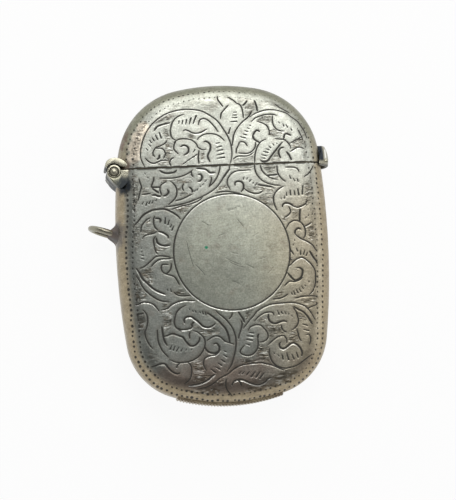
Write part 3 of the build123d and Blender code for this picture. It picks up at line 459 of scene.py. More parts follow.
BODY_GROUND = [
    ([(-9.6, 10.1), (-8.3, 10.0), (-8.4, 9.6), (-9.3, 9.5)], 85),
    ([(-7.4, 10.0), (-4.3, 9.95), (-4.7, 9.2), (-6.9, 9.3)], 88),
    ([(-6.9, 8.9), (-6.2, 8.9), (-6.2, 8.2), (-6.8, 8.1)], 80),
    ([(-6.5, 7.95), (-5.6, 7.95), (-4.9, 7.75), (-5, 7.45), (-6.3, 7.1)], 80),
    ([(-7.8, 5.3), (-6.3, 5.65), (-4.6, 6.05), (-5.2, 5.4), (-5.7, 4.6), (-6.4, 4.5), (-7, 5)], 20),
    ([(-12.2, 3.5), (-11.2, 4.0), (-10.9, 3.2), (-11.6, 3.0)], 60),
    ([(-12.7, 1.5), (-12.4, 2.5), (-11.2, 2.5), (-10.2, 2.2), (-10.9, 1.8), (-11.8, 1.6)], 20),
    ([(-10.75, -0.2), (-10.4, -1.2), (-9.4, -1.0), (-8.6, -0.5), (-9.6, -0.35)], 10),
    ([(-13.2, -4.1), (-12.3, -3.6), (-11.4, -3.5), (-11.0, -5.5), (-11.5, -6.3), (-12.6, -5)], 95),
    ([(-8, -7.3), (-7, -6.9), (-6.2, -7.7), (-7.3, -7.85)], 10),
    ([(-9.8, -9), (-8.6, -9), (-9.3, -9.6), (-10.1, -9.9)], 30),
    ([(-10.1, -10.4), (-8.9, -9.9), (-8.5, -10.9), (-8.7, -12.6), (-9.8, -13.6), (-10, -12)], 75),
    ([(-13.9, -10.8), (-12.7, -10.7), (-12.6, -11.6), (-12.9, -13), (-13.8, -13)], 90),
    ([(-13.9, -5), (-13.2, -6.5), (-12.2, -7.6), (-12.4, -8.5), (-13.9, -8.7)], 85),
    ([(-5.4, -12.9), (-4.6, -12.6), (-3.6, -13.2), (-2.2, -13), (-1.2, -13.4), (-1.4, -14.2),
      (-2.6, -14.2), (-3.6, -14.5), (-4.6, -13.4)], 15),
    ([(-5.8, -18.2), (-4.8, -17.8), (-4.2, -18.2), (-4.2, -19.2), (-3.6, -20), (-3, -20.3),
      (-4.2, -21.2), (-5.8, -21.4), (-5.7, -20)], 5),
    ([(-12.6, -16.2), (-11, -16.6), (-10.6, -18), (-12.6, -18.2)], 40, 0.5),
    ([(-13.7, 11.2), (-12.8, 11.2), (-12.7, 9.5), (-12.9, 7.2), (-13.2, 5.2), (-13.9, 5), (-13.8, 7.5)], 80, 0.8),
    ([(-13.9, 2.9), (-12.9, 3.4), (-12.8, 0), (-13.6, -1), (-13.9, 0.5)], 85, 0.7),
    ([(6.8, -21.7), (9.4, -21.2), (9.2, -22), (6.8, -22.6), (5.4, -22.3)], 8),
    ([(-7.6, -22.2), (-4.6, -22.5), (-2.4, -22.1), (-1.2, -22.8), (-2.4, -23.4), (-5.5, -23)], 172),
    ([(-2.6, -21.4), (-1.1, -20.9), (-1.1, -21.9), (-1.6, -22.1)], 160),
    ([(1.5, -18), (3.8, -18.0), (4.6, -18.5), (3.8, -18.7), (1.8, -18.8)], 0),
    ([(4.6, -16), (6, -16.3), (5.9, -18.2), (6.5, -18.9), (5, -18.6), (4.1, -17.6)], 165),
    ([(5.6, -12.4), (6.2, -13), (8, -13.1), (8.1, -14), (8.7, -14.5), (7, -14.8), (6.2, -15.2),
      (6.2, -14.2), (5.6, -13.3)], 10),
    ([(4.6, -12.2), (5.4, -11.7), (6, -11.6), (6, -12.4), (5, -12.8), (4.3, -12.7)], 150),
    ([(2.7, -10.8), (4.1, -10.4), (3.4, -11.6), (2.9, -12.2), (2.6, -12.1)], 40),
    ([(10.5, -11.1), (11.5, -11.5), (12.3, -12.6), (11, -12.6), (10.9, -12)], 15),
    ([(9.2, -14.4), (10.2, -14), (10.5, -15), (10.8, -15.8), (10, -15.8), (9.1, -16)], 175),
    ([(5.9, -20.7), (7.6, -20.4), (10.6, -20.2), (11.4, -19.8), (9.5, -21.1), (7.6, -21.6), (6.6, -21.4)], 15),
    ([(2.5, -22.3), (5.6, -22.1), (7, -22.2), (4.8, -23), (2.2, -23.1)], 5),
    ([(8.3, -8.9), (7.2, -8.7), (8.1, -7.9), (8.7, -7.3), (8.9, -8)], 60),
    ([(9.9, -9.4), (12.4, -9.2), (13.8, -9.2), (13.6, -9.9), (12.2, -10.2), (11, -9.7)], 4),
    ([(12.9, 0), (13.8, 1.4), (13.9, -0.2), (13.4, -0.6)], 40),
    ([(12.9, 1.8), (13.9, 2.2), (14.1, 0.2), (13, -0.2)], 20),
    ([(9.9, -2.6), (10.7, -3), (10.2, -3.6), (9.9, -3.8)], 120),
    ([(10.6, 3.4), (11.5, 3.2), (11.6, 4.6), (10.7, 4.6)], 100),
    ([(12.6, 8.4), (13.9, 9.2), (14.2, 7.4), (13.7, 5.6), (12.8, 5.0), (12.8, 6.8)], 35),
    ([(5.2, 6.6), (6.4, 7.1), (7.8, 6.6), (7.9, 5.5), (7.4, 4.9)], 165),
    ([(3.6, 8.2), (5.5, 8.4), (8.2, 8), (8, 7), (6.4, 7.6), (4.6, 7.3)], 165, 0.8),
    ([(6.9, 9.9), (8.8, 9.9), (8.9, 9.4), (7.8, 9.3)], 5),
    ([(6.3, 11.5), (8.5, 11.5), (8.5, 10.3), (7.3, 10.3)], 5),
    ([(1.8, 11.6), (5, 11.6), (5.1, 11), (2.3, 11.1)], 175),
    ([(-0.5, 8.4), (0.7, 8.9), (1, 8), (0, 7.85), (-0.9, 7.7)], 30),
    ([(10.2, 3.1), (9.4, 2.6), (9.1, 3.1), (8.7, 4), (9.3, 3.4)], 140),
    ([(-13.6, 5.2), (-12.9, 6), (-13.2, 7), (-13.7, 6.4)], 60),
    ([(-12.2, 9), (-11, 8.9), (-11.2, 8.1), (-12.2, 7.9)], 30),
]
CARTOUCHE = (1.1, -1.6, 8.95)
BODY_SCRATCHES = [
    [(0.5, 4.9), (1.6, 5.1), (2.8, 5.4)], [(0.6, 4.7), (2.2, 5.0)], [(-5.8, 0.4), (-5.4, -1.6), (-4.9, -3.6)],
    [(-0.9, 0.9), (0.3, 1.4)], [(0, -2.4), (1.2, -3.1), (2.4, -3.6)], [(0.4, -2.9), (1.8, -3.7), (3.1, -4.1)],
    [(0.8, -6.0), (1.6, -6.3), (2.2, -6.7)], [(3.2, -3.6), (4.4, -4.2)], [(5, -2.9), (6.3, -2.6)],
    [(-4.6, -3.3), (-3.6, -4.4), (-3.2, -5)], [(1.0, -1.7), (2.0, -1.9)], [(4.3, 0.6), (5.4, 1.2)],
    [(-3.4, 3.4), (-2.2, 2.6)], [(6.4, -5.2), (7.4, -4.1)], [(2.2, 3.4), (3.1, 2.2)],
]


def outline_arcs(sizes):
    """Arcs of the right half of the outline, each with its centre, radius and range of angles."""
    half_height = sizes.height / 2
    crown = (0.0, half_height - sizes.crown_radius)
    base = (0.0, sizes.base_radius - half_height)
    side = (sizes.width / 2 - sizes.side_radius, 0.0)
    top = corner_centre(side, sizes.side_radius, crown, sizes.crown_radius, sizes.crown_corner_radius)
    low = corner_centre(side, sizes.side_radius, base, sizes.base_radius, sizes.base_corner_radius)
    crown_end = math.atan2(top[1] - crown[1], top[0] - crown[0])
    side_top = math.atan2(top[1] - side[1], top[0] - side[0])
    side_low = math.atan2(low[1] - side[1], low[0] - side[0])
    base_end = math.atan2(low[1] - base[1], low[0] - base[0])
    return [
        (*crown, sizes.crown_radius, crown_end, math.pi),
        (*top, sizes.crown_corner_radius, side_top, crown_end),
        (*side, sizes.side_radius, side_low, side_top),
        (*low, sizes.base_corner_radius, base_end, side_low),
        (*base, sizes.base_radius, -math.pi, base_end),
    ]


def corner_centre(side, side_radius, end, end_radius, corner_radius):
    """Centre of a corner arc that runs smoothly into the side arc and an end arc."""
    reach_end = end_radius - corner_radius
    reach_side = side_radius - corner_radius
    across = Vector((end[0] - side[0], end[1] - side[1]))
    along = (reach_side**2 - reach_end**2 + across.length_squared) / (2 * across.length)
    off = math.sqrt(reach_side**2 - along**2)
    unit = across.normalized()
    foot = Vector(side) + unit * along
    normal = Vector((-unit.y, unit.x)) * off
    return max(tuple(foot + normal), tuple(foot - normal))


def facing(arcs, x, y):
    """For plan points: how far inside the outline they lie, and the centre of the arc they face."""
    across = np.abs(x)
    inside = np.full(x.shape, 99.0)
    centre_x = np.zeros(x.shape)
    centre_y = np.zeros(x.shape)
    for cx, cy, radius, low, high in arcs:
        turn = np.arctan2(y - cy, across - cx)
        gap = radius - np.hypot(across - cx, y - cy)
        hit = (turn >= low) & (turn <= high) & (gap < inside)
        inside[hit] = gap[hit]
        centre_x[hit] = cx
        centre_y[hit] = cy
    return inside, centre_x * np.where(x < 0, -1.0, 1.0), centre_y


def wrap(arcs, sizes, px, py, offset=0.0):
    """Lays flat pattern points over the front of the case, drawn in by the offset."""
    inside, cx, cy = facing(arcs, px, py)
    dx = px - cx
    dy = py - cy
    distance = np.hypot(dx, dy)
    run = sizes.shoulder - inside
    turn = np.clip(run / sizes.shoulder, 0.0, math.pi / 2)
    down = np.maximum(run - sizes.shoulder * math.pi / 2, 0.0)
    reach = np.where(run > 0, distance - run + sizes.shoulder * np.sin(turn), distance)
    normals = np.stack([dx / distance * np.sin(turn), dy / distance * np.sin(turn), np.cos(turn)], -1)
    z = sizes.thickness - sizes.shoulder * (1 - np.cos(turn)) - down
    points = np.stack([cx + dx / distance * reach, cy + dy / distance * reach, z], -1)
    return points - normals * offset, normals


def shell_patch(arcs, sizes, pitch, offset, is_lid):
    """Grid of quads over one half of the case, from the seam to the joint at mid thickness."""
    limit = sizes.shoulder * math.pi / 2 + sizes.thickness / 2 - sizes.shoulder
    reach_x = sizes.width / 2 - sizes.shoulder + limit + 2 * pitch
    reach_y = sizes.height / 2 - sizes.shoulder + limit + 2 * pitch
    way = 1.0 if is_lid else -1.0
    seam = sizes.seam_y + way * sizes.seam_gap / 2
    columns = int(reach_x / pitch)
    rows = int((reach_y - way * seam) / pitch)
    xs = np.arange(-columns, columns + 1) * reach_x / columns
    ys = seam + way * np.arange(rows + 1) * pitch
    px, py = np.meshgrid(xs, ys)
    target = py.copy()
    pull = np.clip(1 - np.abs(target - seam) / 9.0, 0.0, 1.0)
    for _ in range(4):
        points, _ = wrap(arcs, sizes, px, py, offset)
        py += (target - points[..., 1]) * pull
    inside, cx, cy = facing(arcs, px, py)
    run = sizes.shoulder - inside
    keep = run <= limit + 0.5 * pitch
    cells = keep[:-1, :-1] & keep[1:, :-1] & keep[:-1, 1:] & keep[1:, 1:]
    around = np.zeros(px.shape, int)
    around[:-1, :-1] += cells
    around[1:, :-1] += cells
    around[:-1, 1:] += cells
    around[1:, 1:] += cells
    full = np.full(px.shape, 4)
    full[0, :] = 2
    rim = (around > 0) & (around < full)
    distance = np.hypot(px - cx, py - cy)
    stretch = np.where(rim | (run > limit), (distance - run + limit) / distance, 1.0)
    px = cx + (px - cx) * stretch
    py = cy + (py - cy) * stretch
    points, _ = wrap(arcs, sizes, px, py, offset)
    points[0, :, 1] = seam
    points[..., 2] = np.where(rim, sizes.thickness / 2, points[..., 2])
    number = np.full(px.shape, -1)
    used = around > 0
    number[used] = np.arange(used.sum())
    low = number[:-1, :-1][cells]
    right = number[:-1, 1:][cells]
    far = number[1:, 1:][cells]
    left = number[1:, :-1][cells]
    quads = np.stack([low, right, far, left], -1)
    corners = number[0][used[0]]
    return points[used], quads, (corners[0], corners[-1])


def border_loop(quads):
    """Border vertices of a patch, in order."""
    starts = quads.ravel()
    ends = np.roll(quads, -1, axis=1).ravel()
    top = max(starts.max(), ends.max()) + 1
    lone = ~np.isin(starts * top + ends, ends * top + starts)
    following = dict(zip(starts[lone].tolist(), ends[lone].tolist()))
    first = next(iter(following))
    loop = [first]
    while following[loop[-1]] != first:
        loop.append(following[loop[-1]])
    return loop


def arms(loop, corners):
    """The two stretches of a border between its corners."""
    turned = loop[loop.index(corners[0]):] + loop[: loop.index(corners[0])]
    split = turned.index(corners[1])
    return turned[: split + 1], turned[split:] + turned[:1]


def zip_rim(outer, inner, points):
    """Triangles between two rows of vertices that run side by side."""

    def steps(row):
        lengths = np.linalg.norm(np.diff(points[row], axis=0), axis=1)
        return np.concatenate([[0.0], np.cumsum(lengths)]) / lengths.sum()

    outer_at = steps(outer)
    inner_at = steps(inner)
    i = j = 0
    faces = []
    while i < len(outer) - 1 or j < len(inner) - 1:
        move_outer = j == len(inner) - 1 or (
            i < len(outer) - 1 and outer_at[i + 1] <= inner_at[j + 1]
        )
        if move_outer:
            faces.append((outer[i + 1], outer[i], inner[j]))
            i += 1
        else:
            faces.append((outer[i], inner[j], inner[j + 1]))
            j += 1
    return faces


def shell_mesh(name, arcs, sizes, pitch, lining_pitch, is_lid, is_back):
    """One stamped shell: the outer skin, the lining 0.45 mm inside it, and the rims between."""
    skin, skin_quads, skin_corners = shell_patch(arcs, sizes, pitch, 0.0, is_lid)
    lining, lining_quads, lining_corners = shell_patch(arcs, sizes, lining_pitch, sizes.wall, is_lid)
    points = np.concatenate([skin, lining])
    shift = len(skin)
    faces = skin_quads.tolist() + (lining_quads[:, ::-1] + shift).tolist()
    outer_arms = arms(border_loop(skin_quads), skin_corners)
    inner_arms = arms([i + shift for i in border_loop(lining_quads)], [c + shift for c in lining_corners])
    for outer, inner in zip(outer_arms, inner_arms):
        faces += zip_rim(outer, inner, points)
    if is_back:
        points[:, 2] = sizes.thickness - points[:, 2]
    mesh = bpy.data.meshes.new(name)
    mesh.from_pydata(points * MM, [], faces)
    outward(mesh)
    return mesh


def outward(mesh):
    """Turns every face of a closed mesh outwards."""
    work = bmesh.new()
    work.from_mesh(mesh)
    bmesh.ops.recalc_face_normals(work, faces=work.faces)
    work.to_mesh(mesh)
    work.free()


def lathe_mesh(name, profile, x, y, segments=64):
    """Closed turned shape about a line along Z, from (radius, z) points in millimetres."""
    work = bmesh.new()
    edges = []
    dots = [work.verts.new(((x + radius) * MM, y * MM, z * MM)) for radius, z in profile]
    for i, dot in enumerate(dots):
        edges.append(work.edges.new((dot, dots[(i + 1) % len(dots)])))
    bmesh.ops.spin(
        work, geom=dots + edges, cent=(x * MM, y * MM, 0.0), axis=(0.0, 0.0, 1.0),
        angle=2 * math.pi, steps=segments, use_merge=True,
    )
    bmesh.ops.remove_doubles(work, verts=work.verts, dist=1e-7)
    bmesh.ops.dissolve_degenerate(work, edges=work.edges, dist=1e-8)
    loose = [edge for edge in work.edges if not edge.link_faces]
    bmesh.ops.delete(work, geom=loose, context="EDGES")
    bmesh.ops.recalc_face_normals(work, faces=work.faces)
    mesh = bpy.data.meshes.new(name)
    work.to_mesh(mesh)
    work.free()
    return mesh


def new_object(name, mesh):
    """Object at the origin in the scene's collection."""
    piece = bpy.data.objects.new(name, mesh)
    bpy.context.scene.collection.objects.link(piece)
    return piece


def settled(piece):
    """Turns a piece's modifiers into plain mesh."""
    graph = bpy.context.evaluated_depsgraph_get()
    graph.update()
    mesh = bpy.data.meshes.new_from_object(piece.evaluated_get(graph))
    old = piece.data
    piece.modifiers.clear()
    piece.data = mesh
    mesh.name = piece.name
    bpy.data.meshes.remove(old)
    return piece


def cut_away(piece, cutter_mesh):
    """Cuts the cutter's shape out of a piece."""
    cutter = new_object("cutter", cutter_mesh)
    cut = piece.modifiers.new("cut", "BOOLEAN")
    cut.operation = "DIFFERENCE"
    cut.solver = "EXACT"
    cut.object = cutter
    settled(piece)
    bpy.data.objects.remove(cutter)
    bpy.data.meshes.remove(cutter_mesh)
    return piece


def smooth_path(points, step=0.14):
    """Smooth curve through a few points, as closely spaced points."""
    known = np.array(points, float)
    if len(known) == 2:
        return known
    ends = np.concatenate([[2 * known[0] - known[1]], known, [2 * known[-1] - known[-2]]])
    path = []
    for a, b, c, d in zip(ends[:-3], ends[1:-2], ends[2:-1], ends[3:]):
        count = max(1, int(np.linalg.norm(c - b) / step))
        t = (np.arange(count) / count)[:, None]
        path.append(0.5 * (2 * b + (c - a) * t + (2 * a - 5 * b + 4 * c - d) * t**2
                           + (3 * b - a - 3 * c + d) * t**3))
    path.append(known[-1:])
    return np.concatenate(path)


class EngravedSurface:
    """Depth and darkness of the engraving at a set of plan points."""

    def __init__(self, x, y, settings):
        self.x = x
        self.y = y
        self.settings = settings
        self.depth = np.zeros(x.shape)
        self.cut = np.zeros(x.shape)
        self.roll = np.zeros(x.shape)
        self.ground = np.zeros(x.shape)
        self.rubbed_and_highlight = np.zeros(x.shape)
        self.margin = np.full(x.shape, 9.0)

    def close_by(self, low, high, reach):
        """Indices of the points inside a box with a margin."""
        return np.flatnonzero(
            (self.x > low[0] - reach) & (self.x < high[0] + reach)
            & (self.y > low[1] - reach) & (self.y < high[1] + reach)
        )

    def measure(self, path, reach):
        """Points near a path: their distance to it, how far along it they lie, and their side of it."""
        near = self.close_by(path.min(0), path.max(0), reach)
        x = self.x[near]
        y = self.y[near]
        best = np.full(near.shape, 99.0)
        along = np.zeros(near.shape)
        side = np.zeros(near.shape)
        lengths = np.linalg.norm(np.diff(path, axis=0), axis=1)
        total = max(lengths.sum(), 1e-6)
        gone = 0.0
        for a, b, length in zip(path[:-1], path[1:], lengths):
            ux, uy = (b - a) / max(length, 1e-9)
            t = np.clip((x - a[0]) * ux + (y - a[1]) * uy, 0.0, length)
            over = y - a[1] - uy * t
            gap = np.hypot(x - a[0] - ux * t, over)
            closer = gap < best
            best[closer] = gap[closer]
            side[closer] = over[closer]
            along[closer] = (gone + t[closer]) / total
            gone += length
        return near, best, along, side / np.maximum(best, 1e-6)

    def groove(self, near, gap, half_width, depth, side=0.0, stain=1.0, rubbed=0.0):
        """Sinks a groove whose wall towards the lid is longer, with a slight burr; that wall faces the light and is
        rubbed bright, partly wear and partly a painted highlight.
        """
        across = gap / half_width
        lower = np.clip(-side, 0.0, 1.0) * np.ones(near.shape)
        sunk = depth * np.clip(1 - (across / (1 + 0.3 * lower)) ** 2, 0.0, 1.0)
        burr = -0.16 * depth * (1 + lower) * np.exp(-(((across - 1.5) / 0.35) ** 2))
        self.depth[near] = np.maximum(self.depth[near], sunk) + np.where(sunk > 0, 0.0, burr)
        stained = stain * np.clip(1.45 - across - 0.35 * lower, 0.0, 1.3)
        self.cut[near] = np.maximum(self.cut[near], stained)
        # Painted highlight, partly rubbed wear: bright metal on the wall that faces the light.
        bright = rubbed * lower * np.exp(-(((across - 1.3) / 0.42) ** 2))
        self.rubbed_and_highlight[near] = np.maximum(self.rubbed_and_highlight[near], bright)
        self.margin[near] = np.minimum(self.margin[near], gap - half_width)

    def line(self, points, half_width, depth, rolls=True, stain=1.0):
        """Engraves one line that tapers at both ends."""
        reach = self.settings.roll_reach * 2.2
        near, gap, along, side = self.measure(smooth_path(points), reach)
        end = np.clip(np.minimum(along, 1 - along) * 7.0, 0.0, 1.0)
        width = half_width * (0.55 + 0.45 * np.sqrt(end))
        rubbed = 0.40 + 0.34 * math.sin(7.3 * points[0][0] + 3.1 * points[0][1])
        self.groove(near, gap, width, depth * (0.5 + 0.5 * end), side, stain, rubbed * stain)
        if rolls:
            fall = self.settings.roll_depth * np.exp(-((gap / self.settings.roll_reach) ** 2))
            self.roll[near] = np.maximum(self.roll[near], fall)

    def vein(self, x0, y0, x1, y1):
        """Engraves a short drop-shaped cut that widens to its far end."""
        path = np.array([(x0, y0), (x1, y1)], float)
        near, gap, along, side = self.measure(path, 0.6)
        size = min(1.0, 0.55 + 0.5 * float(np.linalg.norm(path[1] - path[0])))
        width = self.settings.vein_width * size * (0.6 + 0.5 * along)
        self.groove(near, gap, width, self.settings.vein_depth * size, side, 1.0, 0.35)

    def ring(self, x, y, radius, half_width, depth):
        """Engraves a full circle."""
        near = np.arange(self.x.size)
        away = np.hypot(self.x - x, self.y - y)
        gap = np.abs(away - radius)
        close = gap < self.settings.roll_reach * 2.2
        side = np.sign(away - radius) * (self.y - y) / np.maximum(away, 1e-6)
        self.groove(near[close], gap[close], half_width, depth, side[close], 1.0, 0.8)
        fall = self.settings.roll_depth * np.exp(-((gap / self.settings.roll_reach) ** 2))
        self.roll = np.maximum(self.roll, fall * 0.8)

    def patch(self, corners, angle, weight=1.0):
        """Cuts a rough ground of side by side strokes inside a shape."""
        shape = np.array(corners, float)
        near = self.close_by(shape.min(0), shape.max(0), 0.3)
        x = self.x[near]
        y = self.y[near]
        inside = np.zeros(near.shape, bool)
        edge = np.full(near.shape, 99.0)
        for a, b in zip(shape, np.roll(shape, -1, axis=0)):
            straddles = (a[1] > y) != (b[1] > y)
            rise = b[1] - a[1] if abs(b[1] - a[1]) > 1e-9 else 1e-9
            inside ^= straddles & (x < (b[0] - a[0]) * (y - a[1]) / rise + a[0])
            run = b - a
            t = np.clip(((x - a[0]) * run[0] + (y - a[1]) * run[1]) / max(run @ run, 1e-9), 0.0, 1.0)
            edge = np.minimum(edge, np.hypot(x - a[0] - run[0] * t, y - a[1] - run[1] * t))
        signed = np.where(inside, edge, -edge)
        strength = weight * np.clip((signed + 0.08) / 0.22, 0.0, 1.0)
        turn = math.radians(angle)
        across = -math.sin(turn) * x + math.cos(turn) * y
        along = math.cos(turn) * x + math.sin(turn) * y
        wobble = 0.10 * np.sin(along * 2.1 + x) + 0.06 * np.sin(along * 4.7 + 2.0)
        stroke = 0.5 + 0.5 * np.cos((across + wobble) * 2 * math.pi / 0.42)
        uneven = 0.65 + 0.35 * np.sin(along * 3.3 + across * 5.1)
        sunk = strength * (0.03 + 0.075 * stroke * uneven)
        self.depth[near] = np.maximum(self.depth[near], sunk)
        self.ground[near] = np.maximum(self.ground[near], strength * (0.72 + 0.28 * stroke * uneven))
        # Bright crests between the strokes: partly rubbed ridges, partly painted glints.
        crest = np.clip(1 - 2.2 * stroke, 0.0, 1.0) * np.clip(np.sin(along * 2.3 + across * 6.7), 0.0, 1.0)
        self.rubbed_and_highlight[near] = np.maximum(self.rubbed_and_highlight[near], 0.45 * strength * crest)

    def dot(self, x, y, turn, radius, depth, stain):
        """Pricks one dot, a little longer along its row."""
        near = self.close_by((x, y), (x, y), radius * 2.5)
        dx = self.x[near] - x
        dy = self.y[near] - y
        along = (math.cos(turn) * dx + math.sin(turn) * dy) / 1.25
        across = -math.sin(turn) * dx + math.cos(turn) * dy
        self.groove(near, np.hypot(along, across), radius, depth, 0.0, stain)


def border_row(arcs, inset, pitch, base_squeeze):
    """Places along the outline for one row of dots, closer to the edge at the base."""
    places = []
    for cx, cy, radius, low, high in arcs:
        low = max(low, -math.pi / 2)
        high = min(high, math.pi / 2)
        count = max(2, int(radius * (high - low) / 0.05))
        for turn in np.linspace(high, low, count, endpoint=False):
            places.append((cx, cy, radius, turn))
    path = []
    for cx, cy, radius, turn in places:
        y = cy + radius * math.sin(turn)
        near_base = min(max((-y - 10.0) / 12.0, 0.0), 1.0)
        reach = radius - (inset - base_squeeze * near_base)
        path.append((cx + reach * math.cos(turn), cy + reach * math.sin(turn), turn + math.pi / 2))
    path = np.array(path)
    path[0, 0] = max(path[0, 0], 0.0)
    gone = np.concatenate([[0.0], np.cumsum(np.hypot(*np.diff(path[:, :2], axis=0).T))])
    count = int(gone[-1] / pitch)
    marks = (np.arange(count) + 0.5) * gone[-1] / count
    right = np.stack([np.interp(marks, gone, path[:, i]) for i in range(3)], -1)
    left = right * (-1, 1, -1)
    left[:, 0] += 0.55 * np.exp(-(((left[:, 1] - 5.5) / 4.0) ** 2))
    return np.concatenate([right, left])


def engrave(surface, arcs, is_lid, is_back, random):
    """Engraves the foliage, the border dots and the cartouche on one surface."""
    s = surface.settings
    outlines, bold, veins, ground = (
        (LID_OUTLINES, LID_BOLD, LID_VEINS, LID_GROUND) if is_lid
        else (BODY_OUTLINES, BODY_BOLD, BODY_VEINS, BODY_GROUND)
    )
    for shape in ground:
        surface.patch(*shape)
    for points in outlines:
        surface.line(points, s.outline_width, s.outline_depth)
    for points in bold:
        surface.line(points, s.bold_width, s.bold_depth)
    for vein in veins:
        surface.vein(*vein)
    if not is_lid:
        surface.ring(*CARTOUCHE, s.outline_width, s.outline_depth)
        if is_back:
            engrave_centre(surface)
        else:
            for points in BODY_SCRATCHES:
                surface.line(points, s.fine_width * 0.8, s.fine_depth * 0.18, rolls=False, stain=0.55)
    for inset, squeeze, radius in ((1.22, 0.85, 1.0), (2.2, 0.95, 0.85)):
        for x, y, turn in border_row(arcs, inset, s.dot_pitch, squeeze):
            worn = 0.45 * min(max((y - 13.5) / 5.0, 0.0), 1.0) + (0.22 if x > 0 else 0.0)
            size = s.dot_radius * radius * random.uniform(0.75, 1.15) * (1 - 0.6 * worn)
            shake = random.normal(0.0, 0.05, 2)
            deep = s.dot_depth * random.uniform(0.7, 1.1)
            surface.dot(x + shake[0], y + shake[1], turn, size, deep, 1 - 0.6 * worn)


def engrave_centre(surface):
    """Fills the circle on the back with the lid's scrolls, turned and scaled to the circle, keeping the ones that fit
    in it.
    """
    s = surface.settings
    cx, cy, radius = CARTOUCHE
    scale = radius / 9.6
    for source, width, depth in ((LID_OUTLINES, s.outline_width, s.outline_depth),
                                 (LID_BOLD, s.bold_width, s.bold_depth)):
        for points in source:
            moved = [(cx + (x + 4.6) * scale, cy - (y - 16.2) * scale) for x, y in points]
            if max(math.hypot(x - cx, y - cy) for x, y in moved) < radius - 0.4:
                surface.line(moved, width, depth)
    for x0, y0, x1, y1 in LID_VEINS:
        ends = [cx + (x0 + 4.6) * scale, cy - (y0 - 16.2) * scale,
                cx + (x1 + 4.6) * scale, cy - (y1 - 16.2) * scale]
        if max(math.hypot(ends[0] - cx, ends[1] - cy), math.hypot(ends[2] - cx, ends[3] - cy)) < radius - 0.4:
            surface.vein(*ends)


def engraved_shell(node, body, pitch, is_lid, is_back):
    """Builds, cuts and engraves one shell and puts it in its node's place."""
    scene = bpy.context.scene
    sizes = scene.vesta_sizes
    hinge = scene.vesta_hinge
    settings = scene.vesta_engraving
    arcs = outline_arcs(sizes)
    mesh = shell_mesh(node, arcs, sizes, pitch, settings.lining_pitch, is_lid, is_back)
    piece = new_object("engraved_" + node, mesh)
    cut_away(piece, barrel_room(sizes, hinge, is_lid))
    seed = 7 if is_lid else 3
    for cell in (pitch, pitch / 2):
        rough = EngravedSurface(*plan_of(piece.data), settings)
        engrave(rough, arcs, is_lid, is_back, np.random.default_rng(seed))
        split_near_cuts(piece.data, rough.margin < 0.03 + 0.25 * cell)
    count = len(piece.data.vertices)
    co = np.empty(count * 3)
    piece.data.vertices.foreach_get("co", co)
    co = co.reshape(-1, 3) / MM
    x = co[:, 0]
    y = co[:, 1]
    z = sizes.thickness - co[:, 2] if is_back else co[:, 2]
    inside, cx, cy = facing(arcs, x, y)
    near_edge = sizes.shoulder - np.clip(inside, 0.0, sizes.shoulder)
    above = np.maximum(z - (sizes.thickness - sizes.shoulder), 0.0)
    skin_gap = sizes.shoulder - np.hypot(near_edge, above)
    skin = np.abs(skin_gap) < 0.02
    surface = EngravedSurface(x[skin], y[skin], settings)
    engrave(surface, arcs, is_lid, is_back, np.random.default_rng(seed))
    turn_x = near_edge[skin] / sizes.shoulder
    turn_z = above[skin] / sizes.shoulder
    distance = np.hypot(x - cx, y - cy)[skin]
    normal = np.stack([
        (x - cx)[skin] / distance * turn_x, (y - cy)[skin] / distance * turn_x,
        turn_z * (-1.0 if is_back else 1.0),
    ], -1)
    on_wall = np.clip((z[skin] - 5.4) / 1.4, 0.0, 1.0)
    sunk = (surface.depth + surface.roll * (1 - surface.ground)) * on_wall
    sunk = np.maximum(sunk + wear_waves(x[skin], y[skin]), 0.0)
    rim = np.clip(np.abs(y[skin] - sizes.seam_y - (0.08 if is_lid else -0.08)) / 0.1, 0.0, 1.0)
    surface.cut = np.maximum(surface.cut, 0.9 * (1 - rim))
    if not is_lid:
        lip = np.exp(-(((sizes.seam_y - 0.30 - y[skin]) / 0.12) ** 2))
        surface.rubbed_and_highlight = np.maximum(surface.rubbed_and_highlight, 0.45 * lip * (0.5 + 0.5 * np.sin(x[skin] * 1.9)))
    co[skin] -= normal * (sunk * (0.25 + 0.75 * rim) - skin_gap[skin])[:, None]
    piece.data.vertices.foreach_set("co", (co * MM).ravel())
    for name, values in (("cut", surface.cut * on_wall), ("ground", surface.ground * on_wall),
                         ("roll", surface.roll / settings.roll_depth * on_wall),
                         ("rubbed_and_highlight", surface.rubbed_and_highlight * on_wall)):
        whole = np.zeros(count)
        whole[skin] = values
        layer = piece.data.attributes.new(name, "FLOAT", "POINT")
        layer.data.foreach_set("value", whole)
    piece.data.shade_smooth()
    piece.data.set_sharp_from_angle(angle=math.radians(62))
    piece.data.update()
    piece.data.materials.clear()
    piece.data.materials.append(engraved_silver())
    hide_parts(node)
    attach(piece, body)
    return piece


def plan_of(mesh):
    """Plan places of a mesh's vertices in millimetres."""
    co = np.empty(len(mesh.vertices) * 3)
    mesh.vertices.foreach_get("co", co)
    co = co.reshape(-1, 3) / MM
    return co[:, 0].copy(), co[:, 1].copy()


def split_near_cuts(mesh, close):
    """Halves the mesh cells that an engraved line passes through."""
    work = bmesh.new()
    work.from_mesh(mesh)
    work.verts.ensure_lookup_table()
    flags = close.tolist()
    edges = set()
    for face in work.faces:
        if len(face.verts) == 4 and any(flags[vert.index] for vert in face.verts):
            edges.update(face.edges)
    bmesh.ops.subdivide_edges(work, edges=list(edges), cuts=1, use_grid_fill=True)
    work.to_mesh(mesh)
    work.free()


def wear_waves(x, y):
    """Slow dents of a hand-worn sheet, never above the frame's surface."""
    wave = np.sin(x * 0.41 + 1.3) * np.sin(y * 0.36 + 0.4) + 0.6 * np.sin(x * 0.83 - y * 0.52)
    return 0.012 * (wave + 1.6) / 3.2


